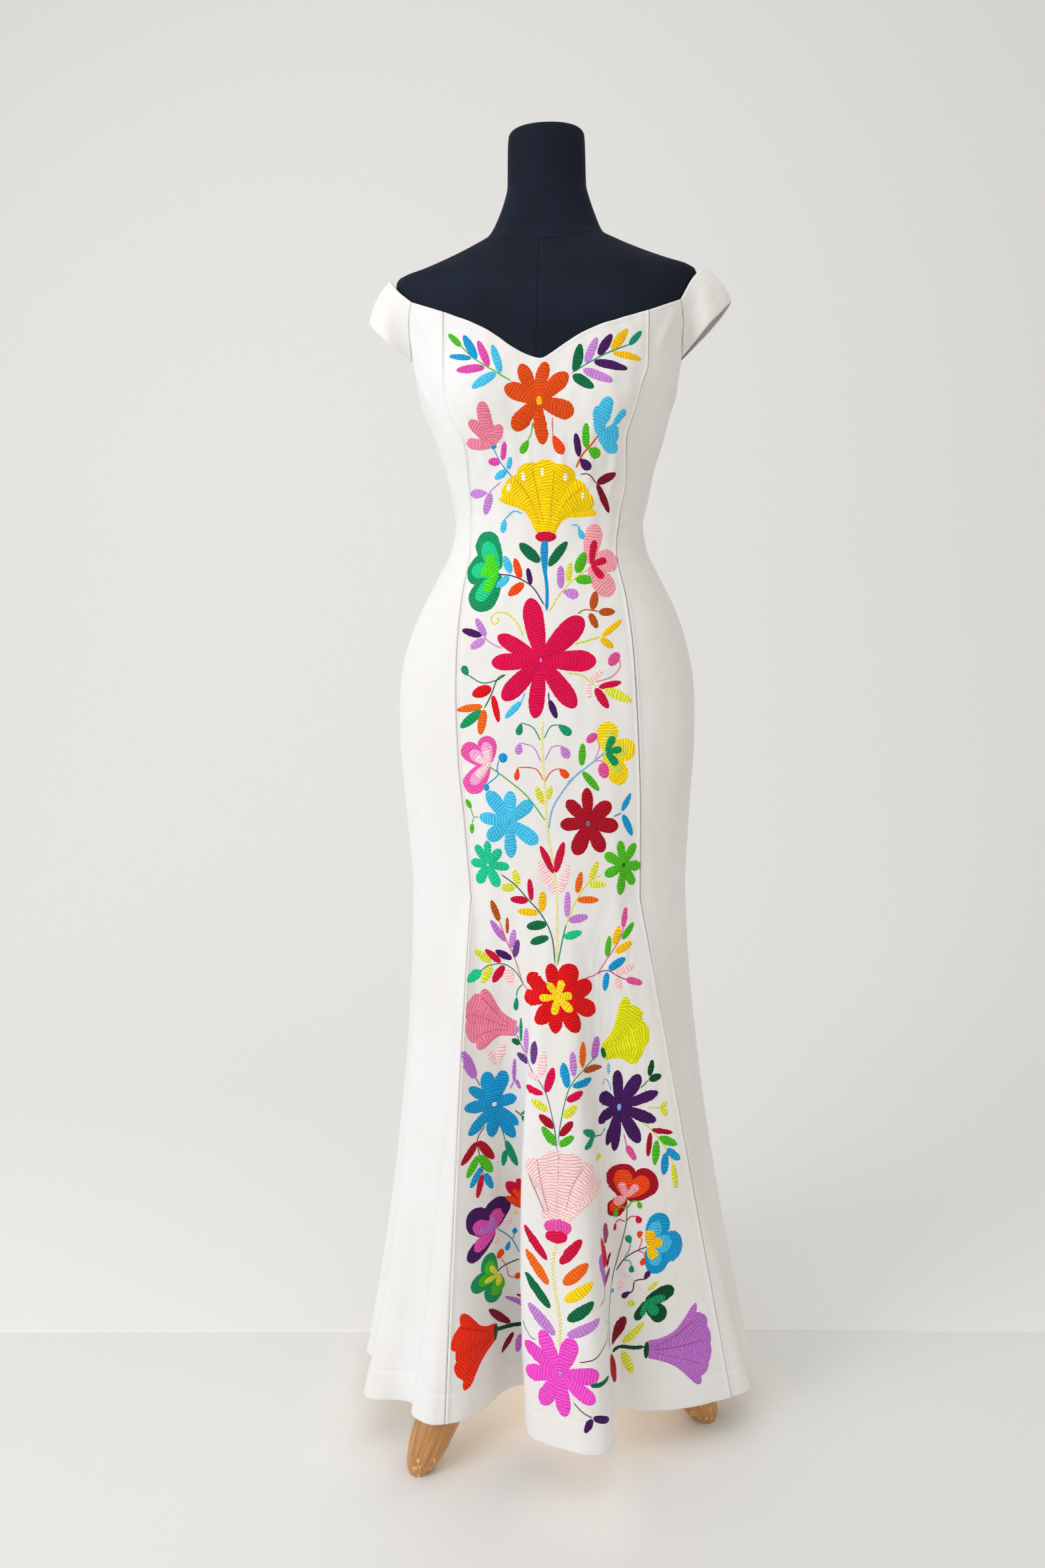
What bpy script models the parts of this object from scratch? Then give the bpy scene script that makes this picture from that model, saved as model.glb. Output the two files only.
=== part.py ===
"""An off-the-shoulder flared dress, on a limbless dress form with a three-legged wooden stand.

Metres, +Z up. The dress faces -Y, and left and right are the wearer's, so left is at +X.
The dress is cut from seven pieces: a front panel, two side fronts, two backs and two sleeves.
Everything is placed round the stand's pole, which a parent empty then moves a little, so that
the whole stands centred on the origin.
"""

import math
from functools import lru_cache

import bmesh
import bpy
import numpy as np
from mathutils import Vector

# Cloth
CLOTH = 0.0016
SEAM_GAP = 0.0003
FORM_CLEARANCE = 0.0011

# Where the pole stands, so that the whole object's box is centred on the origin
POLE_X = -0.0125
POLE_Y = -0.0174

# Heights
WAIST = 1.105
KNEE = 0.650
NECKLINE_BLEND = 1.140
FORM_BOTTOM = 0.725
NECK_TOP = 1.6100

# The dress's outer surface down to the knee, which goes on above it over the form's shoulders
# and neck. Each row is one level: its half widths to -X and +X, its depths to the front and the
# back, and how square its corners are (2 is an ellipse).
# height, minus_x, plus_x, front, back, squareness
FIGURE = (
    (NECK_TOP, 0.0430, 0.0440, 0.0330, 0.0540, 2.10),
    (1.6085, 0.0480, 0.0490, 0.0380, 0.0590, 2.10),
    (1.6040, 0.0505, 0.0520, 0.0405, 0.0615, 2.10),
    (1.5900, 0.0515, 0.0530, 0.0420, 0.0630, 2.10),
    (1.5400, 0.0520, 0.0545, 0.0430, 0.0650, 2.10),
    (1.5220, 0.0560, 0.0590, 0.0450, 0.0680, 2.10),
    (1.5000, 0.0640, 0.0665, 0.0470, 0.0720, 2.10),
    (1.4760, 0.0775, 0.0775, 0.0500, 0.0770, 2.15),
    (1.4640, 0.0985, 0.0985, 0.0530, 0.0810, 2.20),
    (1.4480, 0.1335, 0.1335, 0.0590, 0.0870, 2.20),
    (1.4340, 0.1680, 0.1680, 0.0660, 0.0920, 2.25),
    (1.4240, 0.1930, 0.1930, 0.0710, 0.0950, 2.35),
    (1.4180, 0.1950, 0.1950, 0.0740, 0.0970, 2.40),
    (1.4000, 0.1920, 0.1930, 0.0840, 0.1000, 2.45),
    (1.3800, 0.1860, 0.1870, 0.0950, 0.1020, 2.50),
    (1.3550, 0.1780, 0.1800, 0.1050, 0.1030, 2.50),
    (1.3300, 0.1725, 0.1745, 0.1110, 0.1030, 2.45),
    (1.3060, 0.1685, 0.1715, 0.1155, 0.1020, 2.40),
    (1.2750, 0.1620, 0.1660, 0.1180, 0.0990, 2.35),
    (1.2500, 0.1545, 0.1590, 0.1175, 0.0960, 2.30),
    (1.2270, 0.1455, 0.1535, 0.1150, 0.0920, 2.30),
    (1.2000, 0.1360, 0.1460, 0.1100, 0.0870, 2.30),
    (1.1770, 0.1280, 0.1385, 0.1050, 0.0825, 2.30),
    (1.1370, 0.1195, 0.1305, 0.0975, 0.0765, 2.25),
    (1.1070, 0.1150, 0.1240, 0.0945, 0.0740, 2.20),
    (1.0770, 0.1195, 0.1280, 0.0970, 0.0770, 2.20),
    (1.0360, 0.1385, 0.1465, 0.1035, 0.0880, 2.25),
    (0.9960, 0.1590, 0.1660, 0.1080, 0.1020, 2.30),
    (0.9560, 0.1750, 0.1790, 0.1110, 0.1150, 2.30),
    (0.9160, 0.1840, 0.1870, 0.1125, 0.1240, 2.30),
    (0.8760, 0.1870, 0.1895, 0.1125, 0.1280, 2.30),
    (0.8250, 0.1860, 0.1885, 0.1120, 0.1260, 2.25),
    (0.7750, 0.1815, 0.1845, 0.1115, 0.1200, 2.20),
    (0.7250, 0.1765, 0.1815, 0.1110, 0.1140, 2.20),
    (KNEE, 0.1700, 0.1775, 0.1105, 0.1110, 2.15),
    (0.0000, 0.1700, 0.1775, 0.1105, 0.1110, 2.15),
)

# The two bust cups that the front seams shape
CUP_X = 0.088
CUP_HEIGHT = 1.238
CUP_DEPTH = 0.016
CUP_SPREAD_X = 0.045
CUP_SPREAD_Z = 0.050
CUP_FADE = 3.0

# The two long seams of the front panel: how far across they run at each height
# height, minus_x, plus_x
FRONT_SEAMS = (
    (1.380, -0.1205, 0.1300),
    (1.290, -0.1195, 0.1280),
    (1.264, -0.1190, 0.1200),
    (1.245, -0.1150, 0.1155),
    (1.219, -0.1050, 0.1070),
    (1.200, -0.0940, 0.1020),
    (1.162, -0.0905, 0.1020),
    (1.100, -0.0880, 0.0925),
    (1.070, -0.0890, 0.0900),
    (1.010, -0.0975, 0.1020),
    (0.950, -0.1020, 0.1100),
    (0.905, -0.1030, 0.1130),
    (0.813, -0.1000, 0.1173),
    (0.754, -0.0940, 0.1190),
    (KNEE, -0.0845, 0.1185),
)
SIDE_SEAM_ANGLE = math.radians(95)

# The sweetheart neckline of the front panel
# across, height
NECKLINE = (
    (-0.1205, 1.3580),
    (-0.0900, 1.3440),
    (-0.0690, 1.3330),
    (-0.0510, 1.3210),
    (-0.0360, 1.3090),
    (-0.0160, 1.2980),
    (0.0000, 1.2930),
    (0.0130, 1.3000),
    (0.0340, 1.3155),
    (0.0610, 1.3315),
    (0.0930, 1.3440),
    (0.1300, 1.3580),
)

# The top edge of the side fronts and backs, along each piece from its first seam. It rises to
# the sleeve's upper corner, drops down the armhole, and runs level under the arm.
# share of the piece, height
SIDE_FRONT_TOP = ((0.00, 1.3580), (0.40, 1.3790), (0.52, 1.3560), (0.72, 1.3140), (1.00, 1.3040))
BACK_TOP = ((0.00, 1.3040), (0.14, 1.3120), (0.26, 1.3500), (0.36, 1.3740), (1.00, 1.3520))
FRONT_CORNER = 0.40
FRONT_ARMPIT = 0.72
BACK_ARMPIT = 0.14
BACK_CORNER = 0.36

# The turns of the hem, as each piece runs round from its first seam to the next piece's. Grow
# says how late below the knee the cloth moves out to that turn: 1 is a straight flare.
# across, depth, height, grow
HEM_TURNS = {
    "front_panel": (
        (-0.106, -0.171, 0.068, 0.80),
        (-0.082, -0.158, 0.066, 1.00),
        (-0.059, -0.127, 0.063, 1.10),
        (-0.043, -0.096, 0.060, 1.20),
        (-0.018, -0.081, 0.058, 1.20),
        (0.008, -0.083, 0.057, 1.20),
        (0.012, -0.106, 0.056, 1.10),
        (-0.006, -0.138, 0.055, 1.00),
        (-0.013, -0.160, 0.055, 0.90),
        (-0.003, -0.172, 0.055, 0.90),
        (0.023, -0.184, 0.055, 1.00),
        (0.055, -0.193, 0.055, 1.10),
        (0.075, -0.189, 0.053, 1.20),
        (0.087, -0.168, 0.051, 1.30),
        (0.084, -0.128, 0.049, 1.40),
        (0.094, -0.104, 0.048, 1.30),
        (0.119, -0.107, 0.048, 1.20),
        (0.169, -0.099, 0.047, 1.10),
    ),
    "side_front_left": (
        (0.229, -0.072, 0.045, 1.00),
        (0.252, -0.057, 0.045, 1.40),
        (0.250, -0.036, 0.046, 1.60),
        (0.237, -0.020, 0.048, 1.60),
        (0.258, -0.004, 0.045, 1.60),
        (0.263, 0.016, 0.045, 1.60),
    ),
    "back_left": (
        (0.250, 0.042, 0.046, 1.50),
        (0.216, 0.058, 0.050, 1.50),
        (0.201, 0.092, 0.049, 1.40),
        (0.216, 0.127, 0.045, 1.40),
        (0.192, 0.156, 0.045, 1.40),
        (0.152, 0.157, 0.050, 1.50),
        (0.121, 0.176, 0.048, 1.50),
        (0.112, 0.213, 0.045, 1.40),
        (0.080, 0.226, 0.045, 1.40),
        (0.052, 0.202, 0.050, 1.50),
        (0.028, 0.198, 0.051, 1.50),
    ),
    "back_right": (
        (0.002, 0.217, 0.047, 1.40),
        (-0.030, 0.229, 0.046, 1.40),
        (-0.066, 0.218, 0.047, 1.40),
        (-0.095, 0.190, 0.050, 1.50),
        (-0.122, 0.178, 0.050, 1.50),
        (-0.152, 0.190, 0.046, 1.50),
        (-0.177, 0.172, 0.046, 1.50),
        (-0.184, 0.132, 0.050, 1.60),
        (-0.200, 0.106, 0.049, 1.60),
        (-0.228, 0.094, 0.046, 1.60),
        (-0.238, 0.066, 0.046, 1.70),
        (-0.220, 0.040, 0.049, 1.80),
    ),
    "side_front_right": (
        (-0.222, 0.016, 0.048, 1.80),
        (-0.230, -0.010, 0.047, 1.90),
        (-0.213, -0.034, 0.050, 2.00),
        (-0.207, -0.058, 0.051, 2.00),
        (-0.216, -0.084, 0.050, 2.10),
        (-0.212, -0.104, 0.051, 2.10),
        (-0.194, -0.112, 0.053, 2.10),
        (-0.170, -0.114, 0.055, 2.10),
        (-0.152, -0.126, 0.059, 2.20),
        (-0.148, -0.147, 0.066, 2.00),
        (-0.139, -0.166, 0.069, 1.60),
        (-0.123, -0.174, 0.069, 1.10),
    ),
}
PANELS = tuple(HEM_TURNS)

# The middle fold of the front leans out between knee and hem: share of the front panel's width
# where it leans most, how far in shares to each side, the height where it starts, and by how much
SWELL_PLACE = 0.405
SWELL_REACH = 0.115
SWELL_TOP = 0.575
SWELL = 0.0145

# Where each piece's columns of points lie: shares of its width, and how many columns reach each
COLUMNS = {
    "front_panel": ((0.0, 1.0), (30,)),
    "side_front_left": ((0.0, FRONT_CORNER, FRONT_ARMPIT, 1.0), (4, 4, 4)),
    "back_left": ((0.0, BACK_ARMPIT, BACK_CORNER, 1.0), (2, 3, 11)),
    "back_right": ((0.0, 1.0 - BACK_CORNER, 1.0 - BACK_ARMPIT, 1.0), (11, 3, 2)),
    "side_front_right": ((0.0, 1.0 - FRONT_ARMPIT, 1.0 - FRONT_CORNER, 1.0), (5, 5, 5)),
}

# The heights of the rows of points, before the top and bottom ones follow the neckline and hem
ROW_TOP = 1.370
ROW_BOTTOM = 0.060
ROWS = (
    ROW_TOP, 1.340, 1.312, 1.286, 1.262, 1.240, 1.218, 1.195, 1.170, NECKLINE_BLEND, 1.105, 1.070,
    1.030, 0.985, 0.935, 0.880, 0.815, 0.735, KNEE, 0.570, 0.485, 0.400, 0.315, 0.235, 0.165,
    0.105, ROW_BOTTOM,
)

# Sleeves: a band that is sewn to the front and back armholes and folds over the shoulder. Each
# row is a line across the band, from the neckline edge to the cuff.
# side of the wearer, then share from front to back, neckline point, cuff point
SLEEVE_LINES = {
    "left": (
        (0.22, (0.1825, -0.0400, 1.4060), (0.2020, -0.0390, 1.3480)),
        (0.40, (0.1965, -0.0160, 1.4290), (0.2270, -0.0250, 1.3760)),
        (0.50, (0.1985, 0.0040, 1.4370), (0.2370, -0.0010, 1.3890)),
        (0.60, (0.1970, 0.0240, 1.4300), (0.2290, 0.0230, 1.3790)),
        (0.78, (0.1840, 0.0470, 1.4060), (0.2040, 0.0400, 1.3530)),
    ),
    "right": (
        (0.22, (-0.1830, -0.0400, 1.3970), (-0.1980, -0.0390, 1.3330)),
        (0.40, (-0.1965, -0.0160, 1.4160), (-0.2190, -0.0250, 1.3540)),
        (0.50, (-0.2010, 0.0040, 1.4240), (-0.2290, -0.0010, 1.3660)),
        (0.60, (-0.1970, 0.0240, 1.4190), (-0.2210, 0.0230, 1.3610)),
        (0.78, (-0.1840, 0.0470, 1.4010), (-0.2000, 0.0400, 1.3440)),
    ),
}
SLEEVE_COLUMNS = 20
SLEEVE_ROWS = 5
SLEEVE_BULGE = 0.004
ARMHOLE_GAP = 0.0005

# Stand
POLE_RADIUS = 0.0125
POLE_SIDES = 20
HUB_SIDES = 6
HUB_APOTHEM = 0.0300
HUB_BOTTOM = 0.238
HUB_TOP = 0.330
HUB_BEVEL = 0.003
LEG_ANGLES = {"front": -42.5, "side": 77.5, "back": 197.5}
LEG_SIDES = 16
# Each row is one section of a leg, from the hub to the foot. Tilt is the section's turn from
# upright, which it has against the hub, to level, which it has on the floor.
# out, height, half_wide, half_tall, tilt in degrees
LEG_SECTIONS = (
    (HUB_APOTHEM + SEAM_GAP, 0.284, 0.0150, 0.0260, 0.0),
    (0.0440, 0.2610, 0.0198, 0.0250, 28.0),
    (0.0650, 0.2280, 0.0238, 0.0248, 50.0),
    (0.1190, 0.1410, 0.0270, 0.0270, 57.6),
    (0.1570, 0.0780, 0.0266, 0.0266, 57.6),
    (0.1840, 0.0385, 0.0242, 0.0242, 59.0),
    (0.1978, 0.0165, 0.0198, 0.0200, 66.0),
    (0.2042, 0.0060, 0.0152, 0.0154, 76.0),
    (0.2060, 0.0000, 0.0106, 0.0104, 90.0),
)

# Dress form
FORM_COLUMNS = 48
FORM_ROWS = (
    FORM_BOTTOM, 0.735, 0.775, 0.815, 0.880, 0.935, 0.985, 1.030, 1.070, 1.105, 1.140, 1.170,
    1.195, 1.218, 1.240, 1.262, 1.286, 1.312, 1.340, 1.370, 1.395, 1.410, 1.418, 1.424, 1.434,
    1.448, 1.464, 1.476, 1.500, 1.540, 1.590, 1.604, 1.6085, NECK_TOP,
)
FORM_BOTTOM_INSET = 0.008

# The form stands a little askew: above the chest its levels tip down toward -X
SHOULDER_TILT = 0.030
TILT_FROM = 1.370
TILT_BY = 1.430

# Sampling
RING_SAMPLES = 720
TURN_SAMPLES = 16
PLACE_STEP = 0.004
HEIGHT_STEP = 0.003
FORM_STEP = 0.002
SHARE_STEP = 0.010
DOWN_STEP = 0.020
SHARP_ANGLE = math.radians(40)


def read_table(rows, value):
    """A table's row at a value of its first column, by a smooth curve that never overshoots."""
    table = np.array(rows, float)
    if table[0, 0] > table[-1, 0]:
        table = table[::-1]
    keys = table[:, 0]
    values = table[:, 1:]
    value = min(max(value, keys[0]), keys[-1])
    i = int(min(max(np.searchsorted(keys, value) - 1, 0), len(keys) - 2))
    slopes = np.diff(values, axis=0) / np.diff(keys)[:, None]

    def tangent(k):
        if k == 0 or k == len(keys) - 1:
            return slopes[min(k, len(slopes) - 1)]
        before, after = slopes[k - 1], slopes[k]
        same_way = before * after > 0
        total = np.where(same_way, before + after, 1.0)
        return np.where(same_way, 2.0 * before * after / total, 0.0)

    step = keys[i + 1] - keys[i]
    s = (value - keys[i]) / step
    start = (2 * s**3 - 3 * s**2 + 1) * values[i] + (s**3 - 2 * s**2 + s) * step * tangent(i)
    end = (3 * s**2 - 2 * s**3) * values[i + 1] + (s**3 - s**2) * step * tangent(i + 1)
    return start + end


@lru_cache(maxsize=None)
def ring(height):
    """The figure's level at one height: angles from the front, points, and shares of the way
    round, from the front toward +X."""
    minus_x, plus_x, front, back, squareness = read_table(FIGURE, height)
    angles = np.linspace(0.0, 2.0 * math.pi, RING_SAMPLES + 1)
    across = np.sin(angles)
    ahead = np.cos(angles)
    power = 2.0 / squareness
    x = np.where(across > 0, plus_x, minus_x) * np.sign(across) * np.abs(across) ** power
    y = -np.where(ahead > 0, front, back) * np.sign(ahead) * np.abs(ahead) ** power
    cup = np.exp(-(((np.abs(x) - CUP_X) / CUP_SPREAD_X) ** 2)) * np.clip(CUP_FADE * ahead, 0.0, 1.0)
    y = y - CUP_DEPTH * cup * math.exp(-(((height - CUP_HEIGHT) / CUP_SPREAD_Z) ** 2))
    lengths = np.hypot(np.diff(x), np.diff(y))
    shares = np.concatenate([[0.0], np.cumsum(lengths)]) / lengths.sum()
    return angles, x, y, shares


def figure_point(height, share):
    _, x, y, shares = ring(height)
    share = share % 1.0
    return np.array([np.interp(share, shares, x), np.interp(share, shares, y), height])


@lru_cache(maxsize=None)
def seam_shares(height):
    """How far round each piece's first seam lies, and once more the first of them."""
    angles, x, _, shares = ring(height)
    minus_x, plus_x = read_table(FRONT_SEAMS, height)
    quarter = RING_SAMPLES // 4
    plus_seam = np.interp(plus_x, x[: quarter + 1], shares[: quarter + 1])
    minus_seam = np.interp(minus_x, x[3 * quarter :], shares[3 * quarter :])
    left_side = np.interp(SIDE_SEAM_ANGLE, angles, shares)
    centre_back = np.interp(math.pi, angles, shares)
    right_side = np.interp(2.0 * math.pi - SIDE_SEAM_ANGLE, angles, shares)
    return (minus_seam - 1.0, plus_seam, left_side, centre_back, right_side, minus_seam)


def centripetal(before, start, end, after, s):
    """A point at share s of the way from start to end, on the curve through all four."""
    knots = [0.0]
    for a, b in ((before, start), (start, end), (end, after)):
        knots.append(knots[-1] + math.sqrt(np.linalg.norm(b[:2] - a[:2])))
    t0, t1, t2, t3 = knots
    t = t1 + s * (t2 - t1)
    a1 = ((t1 - t) * before + (t - t0) * start) / (t1 - t0)
    a2 = ((t2 - t) * start + (t - t1) * end) / (t2 - t1)
    a3 = ((t3 - t) * end + (t - t2) * after) / (t3 - t2)
    b1 = ((t2 - t) * a1 + (t - t0) * a2) / (t2 - t0)
    b2 = ((t3 - t) * a2 + (t - t1) * a3) / (t3 - t1)
    return ((t2 - t) * b1 + (t - t1) * b2) / (t2 - t1)


@lru_cache(maxsize=None)
def hem_curve():
    """The hem as places (piece number plus share of the piece) and rows of across, depth,
    height and grow."""
    turns = [np.array(turn) for name in PANELS for turn in HEM_TURNS[name]]
    starts = np.cumsum([0] + [len(HEM_TURNS[name]) for name in PANELS])
    points = []
    for i in range(len(turns)):
        around = [turns[(i + k) % len(turns)] for k in (-1, 0, 1, 2)]
        points += [centripetal(*around, s / TURN_SAMPLES) for s in range(TURN_SAMPLES)]
    points.append(turns[0])
    points = np.array(points)
    steps = np.hypot(np.diff(points[:, 0]), np.diff(points[:, 1]))
    lengths = np.concatenate([[0.0], np.cumsum(steps)])
    seam_lengths = lengths[starts * TURN_SAMPLES]
    places = np.interp(lengths, seam_lengths, np.arange(len(PANELS) + 1))
    return places, points


def hem_at(place):
    places, points = hem_curve()
    place = place % len(PANELS)
    return [np.interp(place, places, points[:, k]) for k in range(4)]


def cloth_point(place, height):
    """The dress's outer surface, at a piece number plus share of the piece, and a height."""
    seams = seam_shares(height)
    inside = place % len(PANELS)
    piece = int(inside)
    share = seams[piece] + (seams[piece + 1] - seams[piece]) * (inside - piece)
    point = figure_point(height, share)
    if height < KNEE:
        across, depth, hem_height, grow = hem_at(inside)
        out = ((KNEE - height) / (KNEE - hem_height)) ** grow
        point[:2] += out * (np.array([across, depth]) - point[:2])
        point[0] -= swell(inside, height, hem_height)
    return point


def swell(place, height, hem_height):
    """How far the flank of the front's middle fold leans toward -X, over the hollow beside it."""
    beside = abs(place - SWELL_PLACE) / SWELL_REACH
    down = (SWELL_TOP - height) / (SWELL_TOP - hem_height)
    if beside >= 1.0 or not 0.0 < down < 1.0:
        return 0.0
    return SWELL * math.cos(0.5 * math.pi * beside) ** 2 * math.sin(math.pi * down) ** 0.8


def cloth_normal(place, height):
    """The direction straight out of the cloth."""
    along = cloth_point(place + PLACE_STEP, height) - cloth_point(place - PLACE_STEP, height)
    up = cloth_point(place, height + HEIGHT_STEP) - cloth_point(place, height - HEIGHT_STEP)
    out = np.cross(along, up)
    return out / np.linalg.norm(out)


def top_height(name, share, x):
    """The height of a piece's top edge."""
    if name == "front_panel":
        return float(read_table(NECKLINE, x)[0])
    heights = {
        "side_front_left": (SIDE_FRONT_TOP, share),
        "back_left": (BACK_TOP, share),
        "back_right": (BACK_TOP, 1.0 - share),
        "side_front_right": (SIDE_FRONT_TOP, 1.0 - share),
    }
    rows, at = heights[name]
    shares, values = zip(*rows)
    return float(np.interp(at, shares, values))


def column_shares(name):
    stops, counts = COLUMNS[name]
    shares = [0.0]
    for start, end, count in zip(stops, stops[1:], counts):
        shares += [start + (end - start) * (k + 1) / count for k in range(count)]
    return shares


def row_heights(top, bottom):
    """The rows of one column, from its place on the neckline down to its place on the hem."""
    heights = []
    for row in ROWS:
        if row > NECKLINE_BLEND:
            row = NECKLINE_BLEND + (row - NECKLINE_BLEND) * (top - NECKLINE_BLEND) / (
                ROW_TOP - NECKLINE_BLEND
            )
        elif row < KNEE:
            row = KNEE - (KNEE - row) * (KNEE - bottom) / (KNEE - ROW_BOTTOM)
        heights.append(row)
    return heights


def wall(name, columns, rows, outer, inner, material):
    """A grid laid on the outer points, then extruded to the inner ones: one closed wall."""
    mesh = bmesh.new()
    bmesh.ops.create_grid(mesh, x_segments=columns, y_segments=rows, size=1.0)
    column_of = mesh.verts.layers.int.new("column")
    row_of = mesh.verts.layers.int.new("row")
    for vert in mesh.verts:
        vert[column_of] = round((vert.co.x + 1.0) / 2.0 * columns)
        vert[row_of] = round((vert.co.y + 1.0) / 2.0 * rows)
        vert.co = outer[vert[column_of]][vert[row_of]]
    extruded = bmesh.ops.extrude_face_region(mesh, geom=mesh.faces[:])
    for item in extruded["geom"]:
        if isinstance(item, bmesh.types.BMVert):
            item.co = inner[item[column_of]][item[row_of]]
    return finish(name, mesh, material)


def loft(name, sections, material, bevel=0.0):
    """A face on the first section, extruded from section to section: one closed solid."""
    mesh = bmesh.new()
    corner_of = mesh.verts.layers.int.new("corner")
    cap = mesh.faces.new([mesh.verts.new(point) for point in sections[0]])
    for corner, vert in enumerate(cap.verts):
        vert[corner_of] = corner
    for number, section in enumerate(sections[1:]):
        extruded = bmesh.ops.extrude_face_region(mesh, geom=[cap])
        if number:
            bmesh.ops.delete(mesh, geom=[cap], context="FACES_ONLY")
        for item in extruded["geom"]:
            if isinstance(item, bmesh.types.BMVert):
                item.co = section[item[corner_of]]
            elif isinstance(item, bmesh.types.BMFace):
                cap = item
    if bevel:
        bmesh.ops.recalc_face_normals(mesh, faces=mesh.faces[:])
        bmesh.ops.bevel(mesh, geom=mesh.edges[:], offset=bevel, segments=1, affect="EDGES")
    return finish(name, mesh, material)


def finish(name, mesh, material):
    bmesh.ops.recalc_face_normals(mesh, faces=mesh.faces[:])
    data = bpy.data.meshes.new(name)
    mesh.to_mesh(data)
    mesh.free()
    data.shade_smooth()
    data.set_sharp_from_angle(angle=SHARP_ANGLE)
    data.materials.append(material)
    made = bpy.data.objects.new(name, data)
    bpy.context.collection.objects.link(made)
    return made


def make_material(name, colour, roughness, metallic=0.0):
    material = bpy.data.materials.new(name)
    material.use_nodes = True
    shader = material.node_tree.nodes["Principled BSDF"]
    shader.inputs["Base Color"].default_value = (*colour, 1.0)
    shader.inputs["Roughness"].default_value = roughness
    shader.inputs["Metallic"].default_value = metallic
    material.diffuse_color = (*colour, 1.0)
    return material


def make_panel(number, name, material):
    """One long piece of the dress, from its top edge to the hem."""
    outer = []
    inner = []
    waist = cloth_point(number + 1, WAIST) - cloth_point(number, WAIST)
    inset = SEAM_GAP / 2.0 / np.linalg.norm(waist)
    for share in column_shares(name):
        place = number + min(max(share, inset), 1.0 - inset)
        x = cloth_point(place, ROW_TOP)[0]
        heights = row_heights(top_height(name, share, x), hem_at(place)[2])
        points = [cloth_point(place, height) for height in heights]
        normals = [cloth_normal(place, height) for height in heights]
        outer.append([Vector(point) for point in points])
        inner.append([Vector(p - CLOTH * n) for p, n in zip(points, normals)])
    return wall(name, len(outer) - 1, len(ROWS) - 1, outer, inner, material)


def armhole_point(side, end, down):
    """A point on a bodice's armhole edge, at the front or back end of a sleeve: down is 0 at the
    neckline corner and 1 under the arm."""
    if end == "front":
        share = FRONT_CORNER + (FRONT_ARMPIT - FRONT_CORNER) * down
        name = "side_front_" + side
    else:
        share = BACK_CORNER + (BACK_ARMPIT - BACK_CORNER) * down
        name = "back_" + side
    if side == "right":
        share = 1.0 - share
    place = PANELS.index(name) + share
    return place, top_height(name, share, 0.0)


def sleeve_end(side, end, down):
    """Where the sleeve meets the armhole: just clear of the bodice's edge, in its own plane."""
    place, height = armhole_point(side, end, down)
    above = cloth_point(*armhole_point(side, end, max(down - DOWN_STEP, 0.0)))
    below = cloth_point(*armhole_point(side, end, min(down + DOWN_STEP, 1.0)))
    edge = below - above
    away = np.cross(cloth_normal(place, height), edge / np.linalg.norm(edge))
    if away[2] < 0:
        away = -away
    return cloth_point(place, height) + ARMHOLE_GAP * away


def sleeve_point(side, share, down):
    """The sleeve's outer surface: share runs from the front armhole over the shoulder to the
    back one, and down runs from the neckline edge to the cuff."""
    stations = [(0.0, sleeve_end(side, "front", down))]
    out = np.array([1.0 if side == "left" else -1.0, 0.0, 1.0])
    bulge = SLEEVE_BULGE * 4.0 * down * (1.0 - down) * out
    for at, top, cuff in SLEEVE_LINES[side]:
        point = np.array(top) + (np.array(cuff) - np.array(top)) * down
        stations.append((at, point + bulge))
    stations.append((1.0, sleeve_end(side, "back", down)))
    rows = [(at, *point) for at, point in stations]
    return read_table(rows, share)


def sleeve_normal(side, share, down):
    """The direction straight out of the sleeve."""
    low, high = max(share - SHARE_STEP, 0.0), min(share + SHARE_STEP, 1.0)
    above, below = max(down - DOWN_STEP, 0.0), min(down + DOWN_STEP, 1.0)
    along = sleeve_point(side, high, down) - sleeve_point(side, low, down)
    drop = sleeve_point(side, share, below) - sleeve_point(side, share, above)
    out = np.cross(drop, along) if side == "left" else np.cross(along, drop)
    return out / np.linalg.norm(out)


def make_sleeve(side, material):
    outer = []
    inner = []
    downs = [j / SLEEVE_ROWS for j in range(SLEEVE_ROWS + 1)]
    for i in range(SLEEVE_COLUMNS + 1):
        share = i / SLEEVE_COLUMNS
        points = [sleeve_point(side, share, down) for down in downs]
        normals = [sleeve_normal(side, share, down) for down in downs]
        outer.append([Vector(point) for point in points])
        inner.append([Vector(p - CLOTH * n) for p, n in zip(points, normals)])
    return wall("sleeve_" + side, SLEEVE_COLUMNS, SLEEVE_ROWS, outer, inner, material)


def form_section(height, inset):
    """One level of the dress form: the figure, moved straight in by the inset."""
    points = []
    for k in range(FORM_COLUMNS):
        share = k / FORM_COLUMNS
        point = figure_point(height, share)
        along = figure_point(height, share + FORM_STEP) - figure_point(height, share - FORM_STEP)
        out = np.array([along[1], -along[0], 0.0])
        point = point - inset * out / np.linalg.norm(out)
        tilt = SHOULDER_TILT * min(max((height - TILT_FROM) / (TILT_BY - TILT_FROM), 0.0), 1.0)
        point[2] += tilt * point[0]
        points.append(Vector(point))
    return points


def make_form(material):
    inset = CLOTH + FORM_CLEARANCE
    sections = [form_section(height, inset) for height in FORM_ROWS]
    sections[0] = form_section(FORM_BOTTOM, inset + FORM_BOTTOM_INSET)
    return loft("dress_form", sections, material)


def circle(radius, height, sides):
    angles = [2.0 * math.pi * k / sides for k in range(sides)]
    return [Vector((radius * math.cos(a), radius * math.sin(a), height)) for a in angles]


def direction(degrees):
    """Straight out from the pole, at an angle from the front toward +X."""
    angle = math.radians(degrees)
    return Vector((math.sin(angle), -math.cos(angle), 0.0))


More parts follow.
